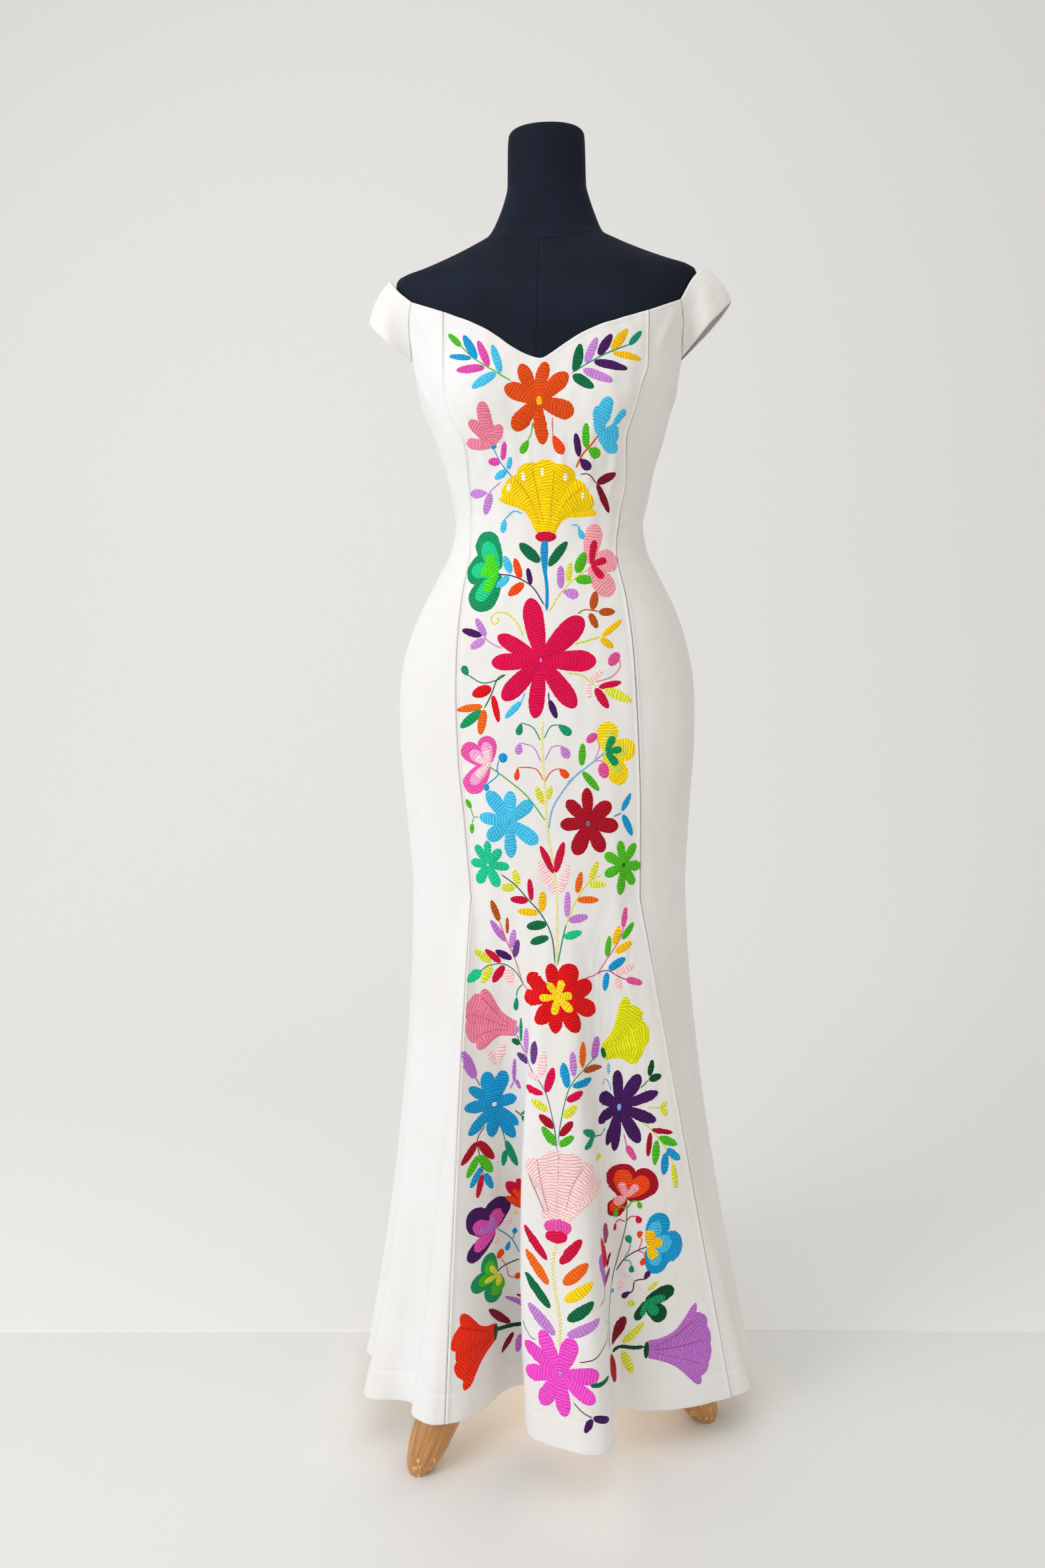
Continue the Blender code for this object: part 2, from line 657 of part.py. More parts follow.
def make_pole(material):
    bottom = HUB_TOP + SEAM_GAP
    top = FORM_BOTTOM - SEAM_GAP
    sections = [circle(POLE_RADIUS, height, POLE_SIDES) for height in (bottom, top)]
    return loft("stand_pole", sections, material)


def make_hub(material):
    """A six-sided block whose flats face the legs."""
    turn = 360.0 / HUB_SIDES
    radius = HUB_APOTHEM / math.cos(math.radians(turn / 2.0))
    first = LEG_ANGLES["front"] + turn / 2.0
    corners = [direction(first + turn * k) * radius for k in range(HUB_SIDES)]
    sections = [[c + Vector((0, 0, height)) for c in corners] for height in (HUB_BOTTOM, HUB_TOP)]
    return loft("stand_hub", sections, material, bevel=HUB_BEVEL)


def make_leg(name, degrees, material):
    """A tapered round leg, upright against the hub and level on the floor."""
    out = direction(degrees)
    side = Vector((-out.y, out.x, 0.0))
    up = Vector((0.0, 0.0, 1.0))
    sections = []
    for reach, height, half_wide, half_tall, tilt in LEG_SECTIONS:
        turn = math.radians(tilt)
        tall = up * math.cos(turn) + out * math.sin(turn)
        centre = out * reach + up * height
        section = []
        for k in range(LEG_SIDES):
            angle = 2.0 * math.pi * k / LEG_SIDES
            place = side * half_wide * math.cos(angle) + tall * half_tall * math.sin(angle)
            section.append(centre + place)
        sections.append(section)
    return loft("leg_" + name, sections, material)


def main():
    for old in list(bpy.data.objects):
        bpy.data.objects.remove(old)
    ivory = make_material("ivory_crepe", (0.86, 0.84, 0.80), 0.75)
    navy = make_material("navy_jersey", (0.012, 0.016, 0.028), 0.85)
    oak = make_material("golden_oak", (0.52, 0.25, 0.07), 0.45)
    steel = make_material("brushed_steel", (0.55, 0.55, 0.56), 0.35, 1.0)
    made = [make_panel(number, name, ivory) for number, name in enumerate(PANELS)]
    made += [make_sleeve(side, ivory) for side in SLEEVE_LINES]
    made.append(make_form(navy))
    made.append(make_pole(steel))
    made.append(make_hub(oak))
    made += [make_leg(name, degrees, oak) for name, degrees in LEG_ANGLES.items()]
    pole = bpy.data.objects.new("pole_axis", None)
    bpy.context.collection.objects.link(pole)
    pole.location = (POLE_X, POLE_Y, 0.0)
    for piece in made:
        piece.parent = pole


main()
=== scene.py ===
"""Looks for an off-the-shoulder flared dress with a stitched front panel, on a dress form.

Metres, +Z up. The dress faces -Y, and left and right are the wearer's, so left is at +X.
"""

import math
from functools import lru_cache

import bmesh
import bpy
import numpy as np
from bpy.props import FloatProperty, PointerProperty, StringProperty
from mathutils import Matrix, Vector


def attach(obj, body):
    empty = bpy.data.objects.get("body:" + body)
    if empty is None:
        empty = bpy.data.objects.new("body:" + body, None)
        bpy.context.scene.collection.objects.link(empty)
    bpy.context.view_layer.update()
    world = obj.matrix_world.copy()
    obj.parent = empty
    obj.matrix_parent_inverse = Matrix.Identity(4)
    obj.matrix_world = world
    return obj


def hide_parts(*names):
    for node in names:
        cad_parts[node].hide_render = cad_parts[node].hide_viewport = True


bl_info = {
    "name": "Embroidered dress on a dress form",
    "version": (1, 0, 0),
    "blender": (4, 5, 0),
    "location": "View3D > Sidebar > Dress",
    "description": "Makes the sewn panels, sleeves, embroidery, dress form and stand",
    "category": "Object",
}

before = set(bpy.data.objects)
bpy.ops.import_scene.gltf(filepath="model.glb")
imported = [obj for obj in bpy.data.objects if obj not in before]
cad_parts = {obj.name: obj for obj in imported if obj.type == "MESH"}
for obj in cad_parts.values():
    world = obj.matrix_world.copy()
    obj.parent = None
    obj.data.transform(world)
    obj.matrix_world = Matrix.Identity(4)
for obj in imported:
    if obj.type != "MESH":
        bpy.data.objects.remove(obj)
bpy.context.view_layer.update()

# Everything is placed round the pole
POLE = np.array((-0.0125, -0.0174, 0.0))

# Cloth
SEAM_GAP = 0.0003
FORM_INSET = 0.0027
KNEE = 0.650
FORM_BOTTOM = 0.725
NECK_TOP = 1.6100
HEM_TURN_UP = 0.032
UNDERSTITCH = 0.0065

# How an edge rolls in, the dip of a row of stitches and the sleeve's hem: depth, half width
EDGE_ROLL = 0.0007
EDGE_ROLL_HALF = 0.0010
STITCH_DIP = 0.0003
STITCH_DIP_HALF = 0.0009
HEM_ROLL = 0.0004
SLEEVE_STITCH_HALF = 0.0012
SLEEVE_HEM = 0.020
SLEEVE_HEM_HALF = 0.0014

# The seams as they show: a groove, and a ridge beside it over the seam allowance
SEAM_GROOVE = 0.0010
SEAM_GROOVE_HALF = 0.0008
FRONT_RIDGE = 0.0013
OTHER_RIDGE = 0.0006
RIDGE_PLACE = 0.0022
RIDGE_HALF = 0.0011
HEM_STEP = 0.0003
HEM_GROOVE = 0.0006
HEM_GROOVE_HALF = 0.0010
DEEPEST = -0.0012

# The dress's outer surface down to the knee, which goes on above it over the form's shoulders
# and neck. Each row is one level: its half widths to -X and +X, its depths to the front and the
# back, and how square its corners are (2 is an ellipse).
# height, minus_x, plus_x, front, back, squareness
FIGURE = (
    (NECK_TOP, 0.043, 0.044, 0.033, 0.054, 2.1),
    (1.6085, 0.048, 0.049, 0.038, 0.059, 2.1),
    (1.604, 0.0505, 0.052, 0.0405, 0.0615, 2.1),
    (1.59, 0.0515, 0.053, 0.042, 0.063, 2.1),
    (1.54, 0.052, 0.0545, 0.043, 0.065, 2.1),
    (1.522, 0.056, 0.059, 0.045, 0.068, 2.1),
    (1.5, 0.064, 0.0665, 0.047, 0.072, 2.1),
    (1.476, 0.0775, 0.0775, 0.05, 0.077, 2.15),
    (1.464, 0.0985, 0.0985, 0.053, 0.081, 2.2),
    (1.448, 0.1335, 0.1335, 0.059, 0.087, 2.2),
    (1.434, 0.168, 0.168, 0.066, 0.092, 2.25),
    (1.424, 0.193, 0.193, 0.071, 0.095, 2.35),
    (1.418, 0.195, 0.195, 0.074, 0.097, 2.4),
    (1.4, 0.192, 0.193, 0.084, 0.1, 2.45),
    (1.38, 0.186, 0.187, 0.095, 0.102, 2.5),
    (1.355, 0.178, 0.18, 0.105, 0.103, 2.5),
    (1.33, 0.1725, 0.1745, 0.111, 0.103, 2.45),
    (1.306, 0.1685, 0.1715, 0.1155, 0.102, 2.4),
    (1.275, 0.162, 0.166, 0.118, 0.099, 2.35),
    (1.25, 0.1545, 0.159, 0.1175, 0.096, 2.3),
    (1.227, 0.1455, 0.1535, 0.115, 0.092, 2.3),
    (1.2, 0.136, 0.146, 0.11, 0.087, 2.3),
    (1.177, 0.128, 0.1385, 0.105, 0.0825, 2.3),
    (1.137, 0.1195, 0.1305, 0.0975, 0.0765, 2.25),
    (1.107, 0.115, 0.124, 0.0945, 0.074, 2.2),
    (1.077, 0.1195, 0.128, 0.097, 0.077, 2.2),
    (1.036, 0.1385, 0.1465, 0.1035, 0.088, 2.25),
    (0.996, 0.159, 0.166, 0.108, 0.102, 2.3),
    (0.956, 0.175, 0.179, 0.111, 0.115, 2.3),
    (0.916, 0.184, 0.187, 0.1125, 0.124, 2.3),
    (0.876, 0.187, 0.1895, 0.1125, 0.128, 2.3),
    (0.825, 0.186, 0.1885, 0.112, 0.126, 2.25),
    (0.775, 0.1815, 0.1845, 0.1115, 0.12, 2.2),
    (0.725, 0.1765, 0.1815, 0.111, 0.114, 2.2),
    (KNEE, 0.17, 0.1775, 0.1105, 0.111, 2.15),
    (0.0, 0.17, 0.1775, 0.1105, 0.111, 2.15),
)

# The two bust cups that the front seams shape
CUP_X = 0.088
CUP_HEIGHT = 1.238
CUP_DEPTH = 0.016
CUP_SPREAD_X = 0.045
CUP_SPREAD_Z = 0.050
CUP_FADE = 3.0

# The two long seams of the front panel: how far across they run at each height
# height, minus_x, plus_x
FRONT_SEAMS = (
    (1.38, -0.1205, 0.13),
    (1.29, -0.1195, 0.128),
    (1.264, -0.119, 0.12),
    (1.245, -0.115, 0.1155),
    (1.219, -0.105, 0.107),
    (1.2, -0.094, 0.102),
    (1.162, -0.0905, 0.102),
    (1.1, -0.088, 0.0925),
    (1.07, -0.089, 0.09),
    (1.01, -0.0975, 0.102),
    (0.95, -0.102, 0.11),
    (0.905, -0.103, 0.113),
    (0.813, -0.1, 0.1173),
    (0.754, -0.094, 0.119),
    (KNEE, -0.0845, 0.1185),
)
SIDE_SEAM_ANGLE = math.radians(95)

# The sweetheart neckline of the front panel
# across, height
NECKLINE = (
    (-0.1205, 1.358),
    (-0.09, 1.344),
    (-0.069, 1.333),
    (-0.051, 1.321),
    (-0.036, 1.309),
    (-0.016, 1.298),
    (0.0, 1.293),
    (0.013, 1.3),
    (0.034, 1.3155),
    (0.061, 1.3315),
    (0.093, 1.344),
    (0.13, 1.358),
)

# The top edge of the side fronts and backs, along each piece from its first seam. It rises to
# the sleeve's upper corner, drops down the armhole, and runs level under the arm.
# share of the piece, height
SIDE_FRONT_TOP = ((0.00, 1.3580), (0.40, 1.3790), (0.52, 1.3560), (0.72, 1.3140), (1.00, 1.3040))
BACK_TOP = ((0.00, 1.3040), (0.14, 1.3120), (0.26, 1.3500), (0.36, 1.3740), (1.00, 1.3520))
FRONT_CORNER = 0.40
FRONT_ARMPIT = 0.72
BACK_ARMPIT = 0.14
BACK_CORNER = 0.36

# The turns of the hem, as each piece runs round from its first seam to the next piece's. Grow
# says how late below the knee the cloth moves out to that turn: 1 is a straight flare.
# across, depth, height, grow
HEM_TURNS = {
    "front_panel": (
        (-0.106, -0.171, 0.068, 0.8),
        (-0.082, -0.158, 0.066, 1.0),
        (-0.059, -0.127, 0.063, 1.1),
        (-0.043, -0.096, 0.06, 1.2),
        (-0.018, -0.081, 0.058, 1.2),
        (0.008, -0.083, 0.057, 1.2),
        (0.012, -0.106, 0.056, 1.1),
        (-0.006, -0.138, 0.055, 1.0),
        (-0.013, -0.16, 0.055, 0.9),
        (-0.003, -0.172, 0.055, 0.9),
        (0.023, -0.184, 0.055, 1.0),
        (0.055, -0.193, 0.055, 1.1),
        (0.075, -0.189, 0.053, 1.2),
        (0.087, -0.168, 0.051, 1.3),
        (0.084, -0.128, 0.049, 1.4),
        (0.094, -0.104, 0.048, 1.3),
        (0.119, -0.107, 0.048, 1.2),
        (0.169, -0.099, 0.047, 1.1),
    ),
    "side_front_left": (
        (0.229, -0.072, 0.045, 1.0),
        (0.252, -0.057, 0.045, 1.4),
        (0.25, -0.036, 0.046, 1.6),
        (0.237, -0.02, 0.048, 1.6),
        (0.258, -0.004, 0.045, 1.6),
        (0.263, 0.016, 0.045, 1.6),
    ),
    "back_left": (
        (0.25, 0.042, 0.046, 1.5),
        (0.216, 0.058, 0.05, 1.5),
        (0.201, 0.092, 0.049, 1.4),
        (0.216, 0.127, 0.045, 1.4),
        (0.192, 0.156, 0.045, 1.4),
        (0.152, 0.157, 0.05, 1.5),
        (0.121, 0.176, 0.048, 1.5),
        (0.112, 0.213, 0.045, 1.4),
        (0.08, 0.226, 0.045, 1.4),
        (0.052, 0.202, 0.05, 1.5),
        (0.028, 0.198, 0.051, 1.5),
    ),
    "back_right": (
        (0.002, 0.217, 0.047, 1.4),
        (-0.03, 0.229, 0.046, 1.4),
        (-0.066, 0.218, 0.047, 1.4),
        (-0.095, 0.19, 0.05, 1.5),
        (-0.122, 0.178, 0.05, 1.5),
        (-0.152, 0.19, 0.046, 1.5),
        (-0.177, 0.172, 0.046, 1.5),
        (-0.184, 0.132, 0.05, 1.6),
        (-0.2, 0.106, 0.049, 1.6),
        (-0.228, 0.094, 0.046, 1.6),
        (-0.238, 0.066, 0.046, 1.7),
        (-0.22, 0.04, 0.049, 1.8),
    ),
    "side_front_right": (
        (-0.222, 0.016, 0.048, 1.8),
        (-0.23, -0.01, 0.047, 1.9),
        (-0.213, -0.034, 0.05, 2.0),
        (-0.207, -0.058, 0.051, 2.0),
        (-0.216, -0.084, 0.05, 2.1),
        (-0.212, -0.104, 0.051, 2.1),
        (-0.194, -0.112, 0.053, 2.1),
        (-0.17, -0.114, 0.055, 2.1),
        (-0.152, -0.126, 0.059, 2.2),
        (-0.148, -0.147, 0.066, 2.0),
        (-0.139, -0.166, 0.069, 1.6),
        (-0.123, -0.174, 0.069, 1.1),
    ),
}
PANELS = tuple(HEM_TURNS)

# Where each piece's columns of points lie: shares of its width, and how many columns reach each
COLUMNS = {
    "front_panel": ((0.0, 1.0), (30,)),
    "side_front_left": ((0.0, FRONT_CORNER, FRONT_ARMPIT, 1.0), (4, 4, 4)),
    "back_left": ((0.0, BACK_ARMPIT, BACK_CORNER, 1.0), (2, 3, 11)),
    "back_right": ((0.0, 1.0 - BACK_CORNER, 1.0 - BACK_ARMPIT, 1.0), (11, 3, 2)),
    "side_front_right": ((0.0, 1.0 - FRONT_ARMPIT, 1.0 - FRONT_CORNER, 1.0), (5, 5, 5)),
}

# Heights between which a piece's width is measured, where its columns are shared out
ROW_BOTTOM = 0.050
ROW_TOP = 1.370
WIDTH_LEVELS = np.linspace(0.060, ROW_TOP, 28)

# Sleeves: a band that is sewn to the front and back armholes and folds over the shoulder. Each
# row is a line across the band, from the neckline edge to the cuff.
# side of the wearer, then share from front to back, neckline point, cuff point
SLEEVE_LINES = {
    "left": (
        (0.22, (0.1825, -0.04, 1.406), (0.202, -0.039, 1.348)),
        (0.4, (0.1965, -0.016, 1.429), (0.227, -0.025, 1.376)),
        (0.5, (0.1985, 0.004, 1.437), (0.237, -0.001, 1.389)),
        (0.6, (0.197, 0.024, 1.43), (0.229, 0.023, 1.379)),
        (0.78, (0.184, 0.047, 1.406), (0.204, 0.04, 1.353)),
    ),
    "right": (
        (0.22, (-0.183, -0.04, 1.397), (-0.198, -0.039, 1.333)),
        (0.4, (-0.1965, -0.016, 1.416), (-0.219, -0.025, 1.354)),
        (0.5, (-0.201, 0.004, 1.424), (-0.229, -0.001, 1.366)),
        (0.6, (-0.197, 0.024, 1.419), (-0.221, 0.023, 1.361)),
        (0.78, (-0.184, 0.047, 1.401), (-0.2, 0.04, 1.344)),
    ),
}
SLEEVE_BULGE = 0.004
SLEEVE_COLUMNS = 72
SLEEVE_ROWS = 26
ARMHOLE_GAP = 0.0005
ARMHOLE_STEP = 0.02

# The legs' angles from the front toward +X, and their sections from the hub to the floor
LEG_ANGLES = {"front": -42.5, "side": 77.5, "back": 197.5}
# out, height, half_wide, half_tall, tilt in degrees
LEG_SECTIONS = (
    (0.0303, 0.284, 0.015, 0.026, 0.0),
    (0.044, 0.261, 0.0198, 0.025, 28.0),
    (0.065, 0.228, 0.0238, 0.0248, 50.0),
    (0.119, 0.141, 0.027, 0.027, 57.6),
    (0.157, 0.078, 0.0266, 0.0266, 57.6),
    (0.184, 0.0385, 0.0242, 0.0242, 59.0),
    (0.1978, 0.0165, 0.0198, 0.02, 66.0),
    (0.2042, 0.006, 0.0152, 0.0154, 76.0),
    (0.206, 0.0, 0.0106, 0.0104, 90.0),
)

# Corners and rows of a leg, and metres round it and along it for its grain
LEG_CORNERS = 40
LEG_ROWS = 46
LEG_ROUND = 0.13
LEG_LENGTH = 0.34

# Levels of the dress form: from one height to another in so many rows, and how much further in
# the lowest of them are
FORM_ROWS = (
    (FORM_BOTTOM, 0.745, 6),
    (0.760, 1.370, 62),
    (1.376, 1.520, 40),
    (1.528, 1.595, 12),
    (1.599, NECK_TOP, 9),
)
FORM_BOTTOM_INSETS = (0.0080, 0.0036, 0.0012)
FORM_CORNERS = 160

# The form stands a little askew: above the chest its levels tip down toward -X
SHOULDER_TILT = 0.030
TILT_FROM = 1.370
TILT_BY = 1.430

# Seams of the form's cover: the centre front's shift, the neck's height and bow, and half a width
COVER_SEAM_SHIFT = 0.0055
NECK_SEAM = 1.4565
NECK_SEAM_BOW = 3.2
COVER_SEAM_HALF = 0.0009

# A wave texture of this scale has one band to the metre
WAVE_SCALE = 2.0 * math.pi / 20.0

# Thread colours
THREADS = {
    "amber": "#d99a10", "apple": "#4fdc1f", "aqua": "#1fc795", "azure": "#7fb9e6", "blue": "#1797d2",
    "blush": "#f5a3ae", "brown": "#b9521a", "bubble": "#fba3cf", "cerise": "#dc0b4b", "coral": "#e2715a",
    "crimson": "#cf0f3c", "forest": "#0d6b43", "fuchsia": "#f34ecd", "garnet": "#a90d25", "gold": "#fcd508",
    "green": "#4fbb22", "hotpink": "#ec58ac", "jade": "#14945c", "lemon": "#e3e612", "lilac": "#c987d8",
    "lime": "#dfe347", "magenta": "#e04cae", "maroon": "#7d1022", "mauve": "#c8949a", "mint": "#22cf8e",
    "night": "#0c4a2c", "olive": "#5d6a3c", "orange": "#f04a14", "orchid": "#bb70ca", "pink": "#e3559b",
    "plum": "#994a72", "purple": "#43185a", "red": "#dd1119", "rose": "#ef839d", "rust": "#e04d13",
    "scarlet": "#ec2f12", "shell": "#fdd5d5", "sky": "#48c0ea", "slate": "#6c7f8c", "straw": "#f6eeb6",
    "sunny": "#fbd81c", "tangerine": "#f0691a", "teal": "#17936e", "violet": "#6b3d86", "white": "#f7f5f0",
    "yellow": "#fbc614",
}

# The embroidery, as shapes on the front panel. A stem is a width in mm and then points. A leaf,
# drop or oval is a width in mm, its base and its tip. A petal or fan row is one flower: its base,
# and then a tip and a width in mm for each petal. A point is thousandths of the panel's width
# and mm of height. The layer says how many shapes lie under it, and -1 is a thin stem.
# kind, thread, layer, numbers
MOTIFS = (
    ("stem", "green", -1, 1.6, 96, 1313, 169, 1295, 252, 1281, 366, 1265),
    ("leaf", "green", 0, 8.7, 104, 1311, 30, 1329),
    ("leaf", "blue", 0, 11.9, 185, 1293, 113, 1325),
    ("leaf", "magenta", 0, 11, 245, 1283, 185, 1317),
    ("leaf", "sky", 0, 11, 303, 1275, 254, 1311),
    ("leaf", "blue", 0, 8.6, 158, 1295, 39, 1301),
    ("leaf", "magenta", 0, 12.6, 227, 1282, 86, 1282),
    ("leaf", "sky", 0, 14.4, 283, 1275, 177, 1258),
    ("stem", "teal", -1, 1.6, 632, 1274, 709, 1288, 792, 1300, 895, 1312),
    ("leaf", "forest", 0, 13.3, 641, 1276, 662, 1310),
    ("leaf", "lilac", 0, 11.8, 686, 1286, 738, 1318),
    ("leaf", "purple", 0, 12.9, 745, 1296, 808, 1323),
    ("leaf", "yellow", 0, 13, 807, 1303, 885, 1331),
    ("leaf", "teal", 0, 8.7, 893, 1311, 957, 1330),
    ("leaf", "yellow", 0, 10.7, 810, 1300, 958, 1295),
    ("leaf", "purple", 0, 13.6, 723, 1288, 887, 1281),
    ("leaf", "lilac", 0, 13.3, 680, 1278, 836, 1264),
    ("leaf", "forest", 0, 14.1, 641, 1272, 751, 1256),
    ("petal", "rust", 0, 494, 1242, 389, 1286, 19, 332, 1259, 23, 503, 1288, 17, 616, 1274, 22,
     670, 1227, 25, 485, 1192, 17, 338, 1208, 23),
    ("oval", "yellow", 1, 8.8, 494, 1248, 494, 1236),
    ("stem", "green", -1, 1.4, 456, 1219, 429, 1206, 402, 1198),
    ("drop", "green", 0, 11, 404, 1198, 354, 1182),
    ("stem", "coral", -1, 1.2, 561, 1224, 556, 1213, 549, 1202),
    ("drop", "orange", 0, 14.3, 549, 1203, 601, 1181),
    ("petal", "rose", 0, 189, 1192, 270, 1216, 14, 18, 1196, 17, 112, 1221, 18, 215, 1242, 18),
    ("oval", "blue", 0, 6.1, 174, 1190, 213, 1191),
    ("stem", "blue", -1, 1.4, 191, 1189, 218, 1177, 260, 1164, 299, 1154),
    ("leaf", "magenta", 0, 8.2, 243, 1175, 262, 1196),
    ("leaf", "magenta", 0, 11.7, 228, 1173, 151, 1174),
    ("leaf", "sky", 0, 7.3, 274, 1164, 291, 1179),
    ("leaf", "sky", 0, 10.6, 264, 1163, 188, 1154),
    ("petal", "sky", 0, 819, 1201, 784, 1235, 13, 940, 1207, 25, 924, 1185, 18, 831, 1246, 19),
    ("petal", "sky", 0, 887, 1211, 937, 1232, 10),
    ("stem", "orange", -1, 2.1, 822, 1203, 769, 1192, 713, 1180, 674, 1165),
    ("leaf", "green", 0, 10.5, 741, 1188, 742, 1216),
    ("drop", "green", 0, 15.5, 750, 1188, 819, 1179),
    ("leaf", "purple", 0, 9.2, 695, 1178, 684, 1205),
    ("drop", "purple", 0, 14, 699, 1176, 758, 1164),
    ("fan", "gold", 0, 520, 1088, 211, 1130, 20, 831, 1112, 22, 258, 1150, 36, 752, 1140, 40, 364, 1170,
     35, 612, 1169, 38, 484, 1175, 36, 228, 1141, 24, 800, 1126, 28),
    ("stem", "amber", 1, 0.9, 489, 1095, 397, 1132, 308, 1154),
    ("stem", "amber", 1, 0.9, 508, 1095, 449, 1137, 412, 1165),
    ("stem", "amber", 1, 0.9, 545, 1095, 540, 1132, 542, 1167),
    ("stem", "amber", 1, 0.9, 568, 1095, 617, 1123, 717, 1144),
    ("oval", "white", 1, 7, 276, 1148, 277, 1136),
    ("oval", "white", 1, 6.8, 364, 1161, 364, 1149),
    ("oval", "white", 1, 6.8, 478, 1166, 476, 1154),
    ("oval", "white", 1, 6.7, 610, 1160, 611, 1149),
    ("oval", "white", 1, 6.9, 721, 1137, 730, 1126),
    ("oval", "crimson", 1, 15.3, 456, 1084, 590, 1084),
    ("stem", "maroon", -1, 1.4, 700, 1158, 749, 1158, 803, 1147),
    ("leaf", "maroon", 0, 12.2, 802, 1148, 919, 1161),
    ("leaf", "maroon", 0, 9.7, 803, 1147, 911, 1114),
    ("stem", "lilac", -1, 1.4, 225, 1150, 171, 1142, 146, 1138),
    ("drop", "lilac", 0, 13.7, 135, 1138, 9, 1138),
    ("leaf", "lilac", 0, 12.4, 156, 1138, 117, 1112),
    ("stem", "sky", 1, 1.3, 367, 1112, 310, 1115, 256, 1106),
    ("drop", "sky", 0, 9.5, 256, 1107, 245, 1089),
    ("stem", "sky", 1, 1.3, 678, 1098, 711, 1098, 732, 1094),
    ("drop", "sky", 0, 9.1, 722, 1095, 766, 1081),
    ("stem", "blue", -1, 4, 519, 1078, 518, 1051, 526, 1022, 519, 995),
    ("drop", "blue", 0, 10.5, 520, 1030, 519, 1087),
    ("petal", "jade", 0, 224, 1042, 97, 1090, 39, 12, 1047, 43, 93, 996, 42),
    ("petal", "mint", 1, 222, 1042, 119, 1079, 26, 40, 1045, 26, 107, 1006, 24),
    ("petal", "apple", 2, 220, 1042, 142, 1064, 18, 100, 1043, 18, 147, 1015, 16),
    ("stem", "purple", -1, 1.5, 225, 1039, 328, 1036, 436, 1024, 508, 1001),
    ("leaf", "sky", 1, 10.5, 308, 1040, 261, 1061),
    ("leaf", "sky", 1, 10.8, 298, 1036, 221, 1023),
    ("leaf", "orange", 0, 10.5, 369, 1033, 331, 1058),
    ("leaf", "orange", 0, 13.1, 388, 1028, 297, 1013),
    ("leaf", "purple", 0, 7.9, 432, 1026, 414, 1046),
    ("leaf", "forest", 0, 15, 490, 1053, 360, 1076),
    ("leaf", "forest", 0, 13, 545, 1048, 662, 1078),
    ("petal", "blush", 0, 809, 1050, 837, 1100, 26, 990, 1059, 32, 907, 1013, 31),
    ("petal", "crimson", 1, 815, 1050, 842, 1081, 12, 922, 1057, 12, 876, 1033, 13),
    ("stem", "lime", -1, 1.7, 801, 1046, 702, 1034, 605, 1016, 530, 993),
    ("leaf", "green", 1, 13.5, 716, 1040, 779, 1065),
    ("leaf", "green", 0, 13.1, 700, 1032, 814, 1032),
    ("leaf", "lime", 0, 8.3, 655, 1029, 682, 1053),
    ("leaf", "lilac", 0, 10.4, 607, 1021, 620, 1049),
    ("drop", "lilac", 0, 14.5, 616, 1018, 708, 1013),
    ("petal", "cerise", 0, 480, 936, 438, 867, 22, 240, 965, 21, 205, 933, 23, 266, 889, 25, 425, 1010,
     27, 658, 880, 25, 782, 935, 28, 721, 987, 30),
    ("oval", "lilac", 0, 5.4, 481, 940, 480, 933),
    ("stem", "brown", -1, 1.5, 695, 991, 739, 996, 822, 994),
    ("leaf", "brown", 0, 11.4, 781, 996, 812, 1018),
    ("leaf", "brown", 0, 10.9, 817, 993, 913, 994),
    ("leaf", "brown", 0, 10.5, 765, 992, 799, 974),
    ("stem", "lime", -1, 2.3, 662, 955, 735, 959, 813, 964),
    ("leaf", "yellow", 0, 8.7, 822, 964, 946, 984),
    ("leaf", "yellow", 0, 10.5, 812, 962, 882, 951),
    ("stem", "rose", -1, 1.5, 768, 910, 859, 916, 911, 927, 912, 938),
    ("oval", "pink", 0, 14.4, 910, 945, 853, 930),
    ("leaf", "shell", 0, 9.3, 738, 912, 820, 924),
    ("leaf", "shell", 0, 8.3, 733, 910, 734, 890),
    ("stem", "lime", -1, 1.9, 621, 921, 700, 918, 776, 905),
    ("leaf", "crimson", 0, 9.3, 789, 904, 916, 910),
    ("leaf", "crimson", 0, 12.4, 771, 903, 837, 879),
    ("leaf", "lime", 0, 13.5, 820, 902, 966, 887),
    ("stem", "lime", -1, 1.9, 382, 964, 359, 977, 303, 990, 237, 993, 199, 987, 212, 979, 243, 982, 236,
     987),
    ("stem", "lilac", -1, 1.3, 264, 950, 204, 956, 156, 964),
    ("leaf", "purple", 0, 10.5, 146, 965, 26, 972),
    ("leaf", "lilac", 0, 10.2, 170, 964, 107, 986),
    ("leaf", "lilac", 0, 11.7, 166, 961, 82, 950),
    ("stem", "forest", -1, 1.3, 286, 919, 232, 912, 151, 909, 74, 918),
    ("drop", "jade", 0, 10.4, 74, 917, 40, 929),
    ("stem", "forest", -1, 1.5, 278, 919, 237, 913, 204, 895, 162, 878),
    ("leaf", "red", 0, 15.7, 205, 903, 95, 894),
    ("leaf", "red", 0, 9.5, 213, 894, 240, 862),
    ("leaf", "tangerine", 0, 10.4, 153, 881, 8, 876),
    ("leaf", "jade", 0, 13.1, 148, 876, 23, 855),
    ("leaf", "tangerine", 0, 12.7, 162, 877, 134, 847),
    ("stem", "sky", -1, 1.5, 391, 898, 362, 884),
    ("leaf", "sky", 0, 9.3, 367, 887, 276, 867),
    ("stem", "purple", -1, 1.5, 516, 898, 518, 887),
    ("leaf", "purple", 0, 9.3, 520, 889, 555, 867),
    ("stem", "straw", -1, 3.8, 477, 866, 468, 838, 468, 799, 467, 744),
    ("stem", "teal", -1, 1.3, 463, 840, 427, 856, 363, 862),
    ("drop", "teal", 0, 9.6, 363, 862, 343, 847),
    ("stem", "teal", -1, 1.3, 481, 843, 518, 857, 560, 860),
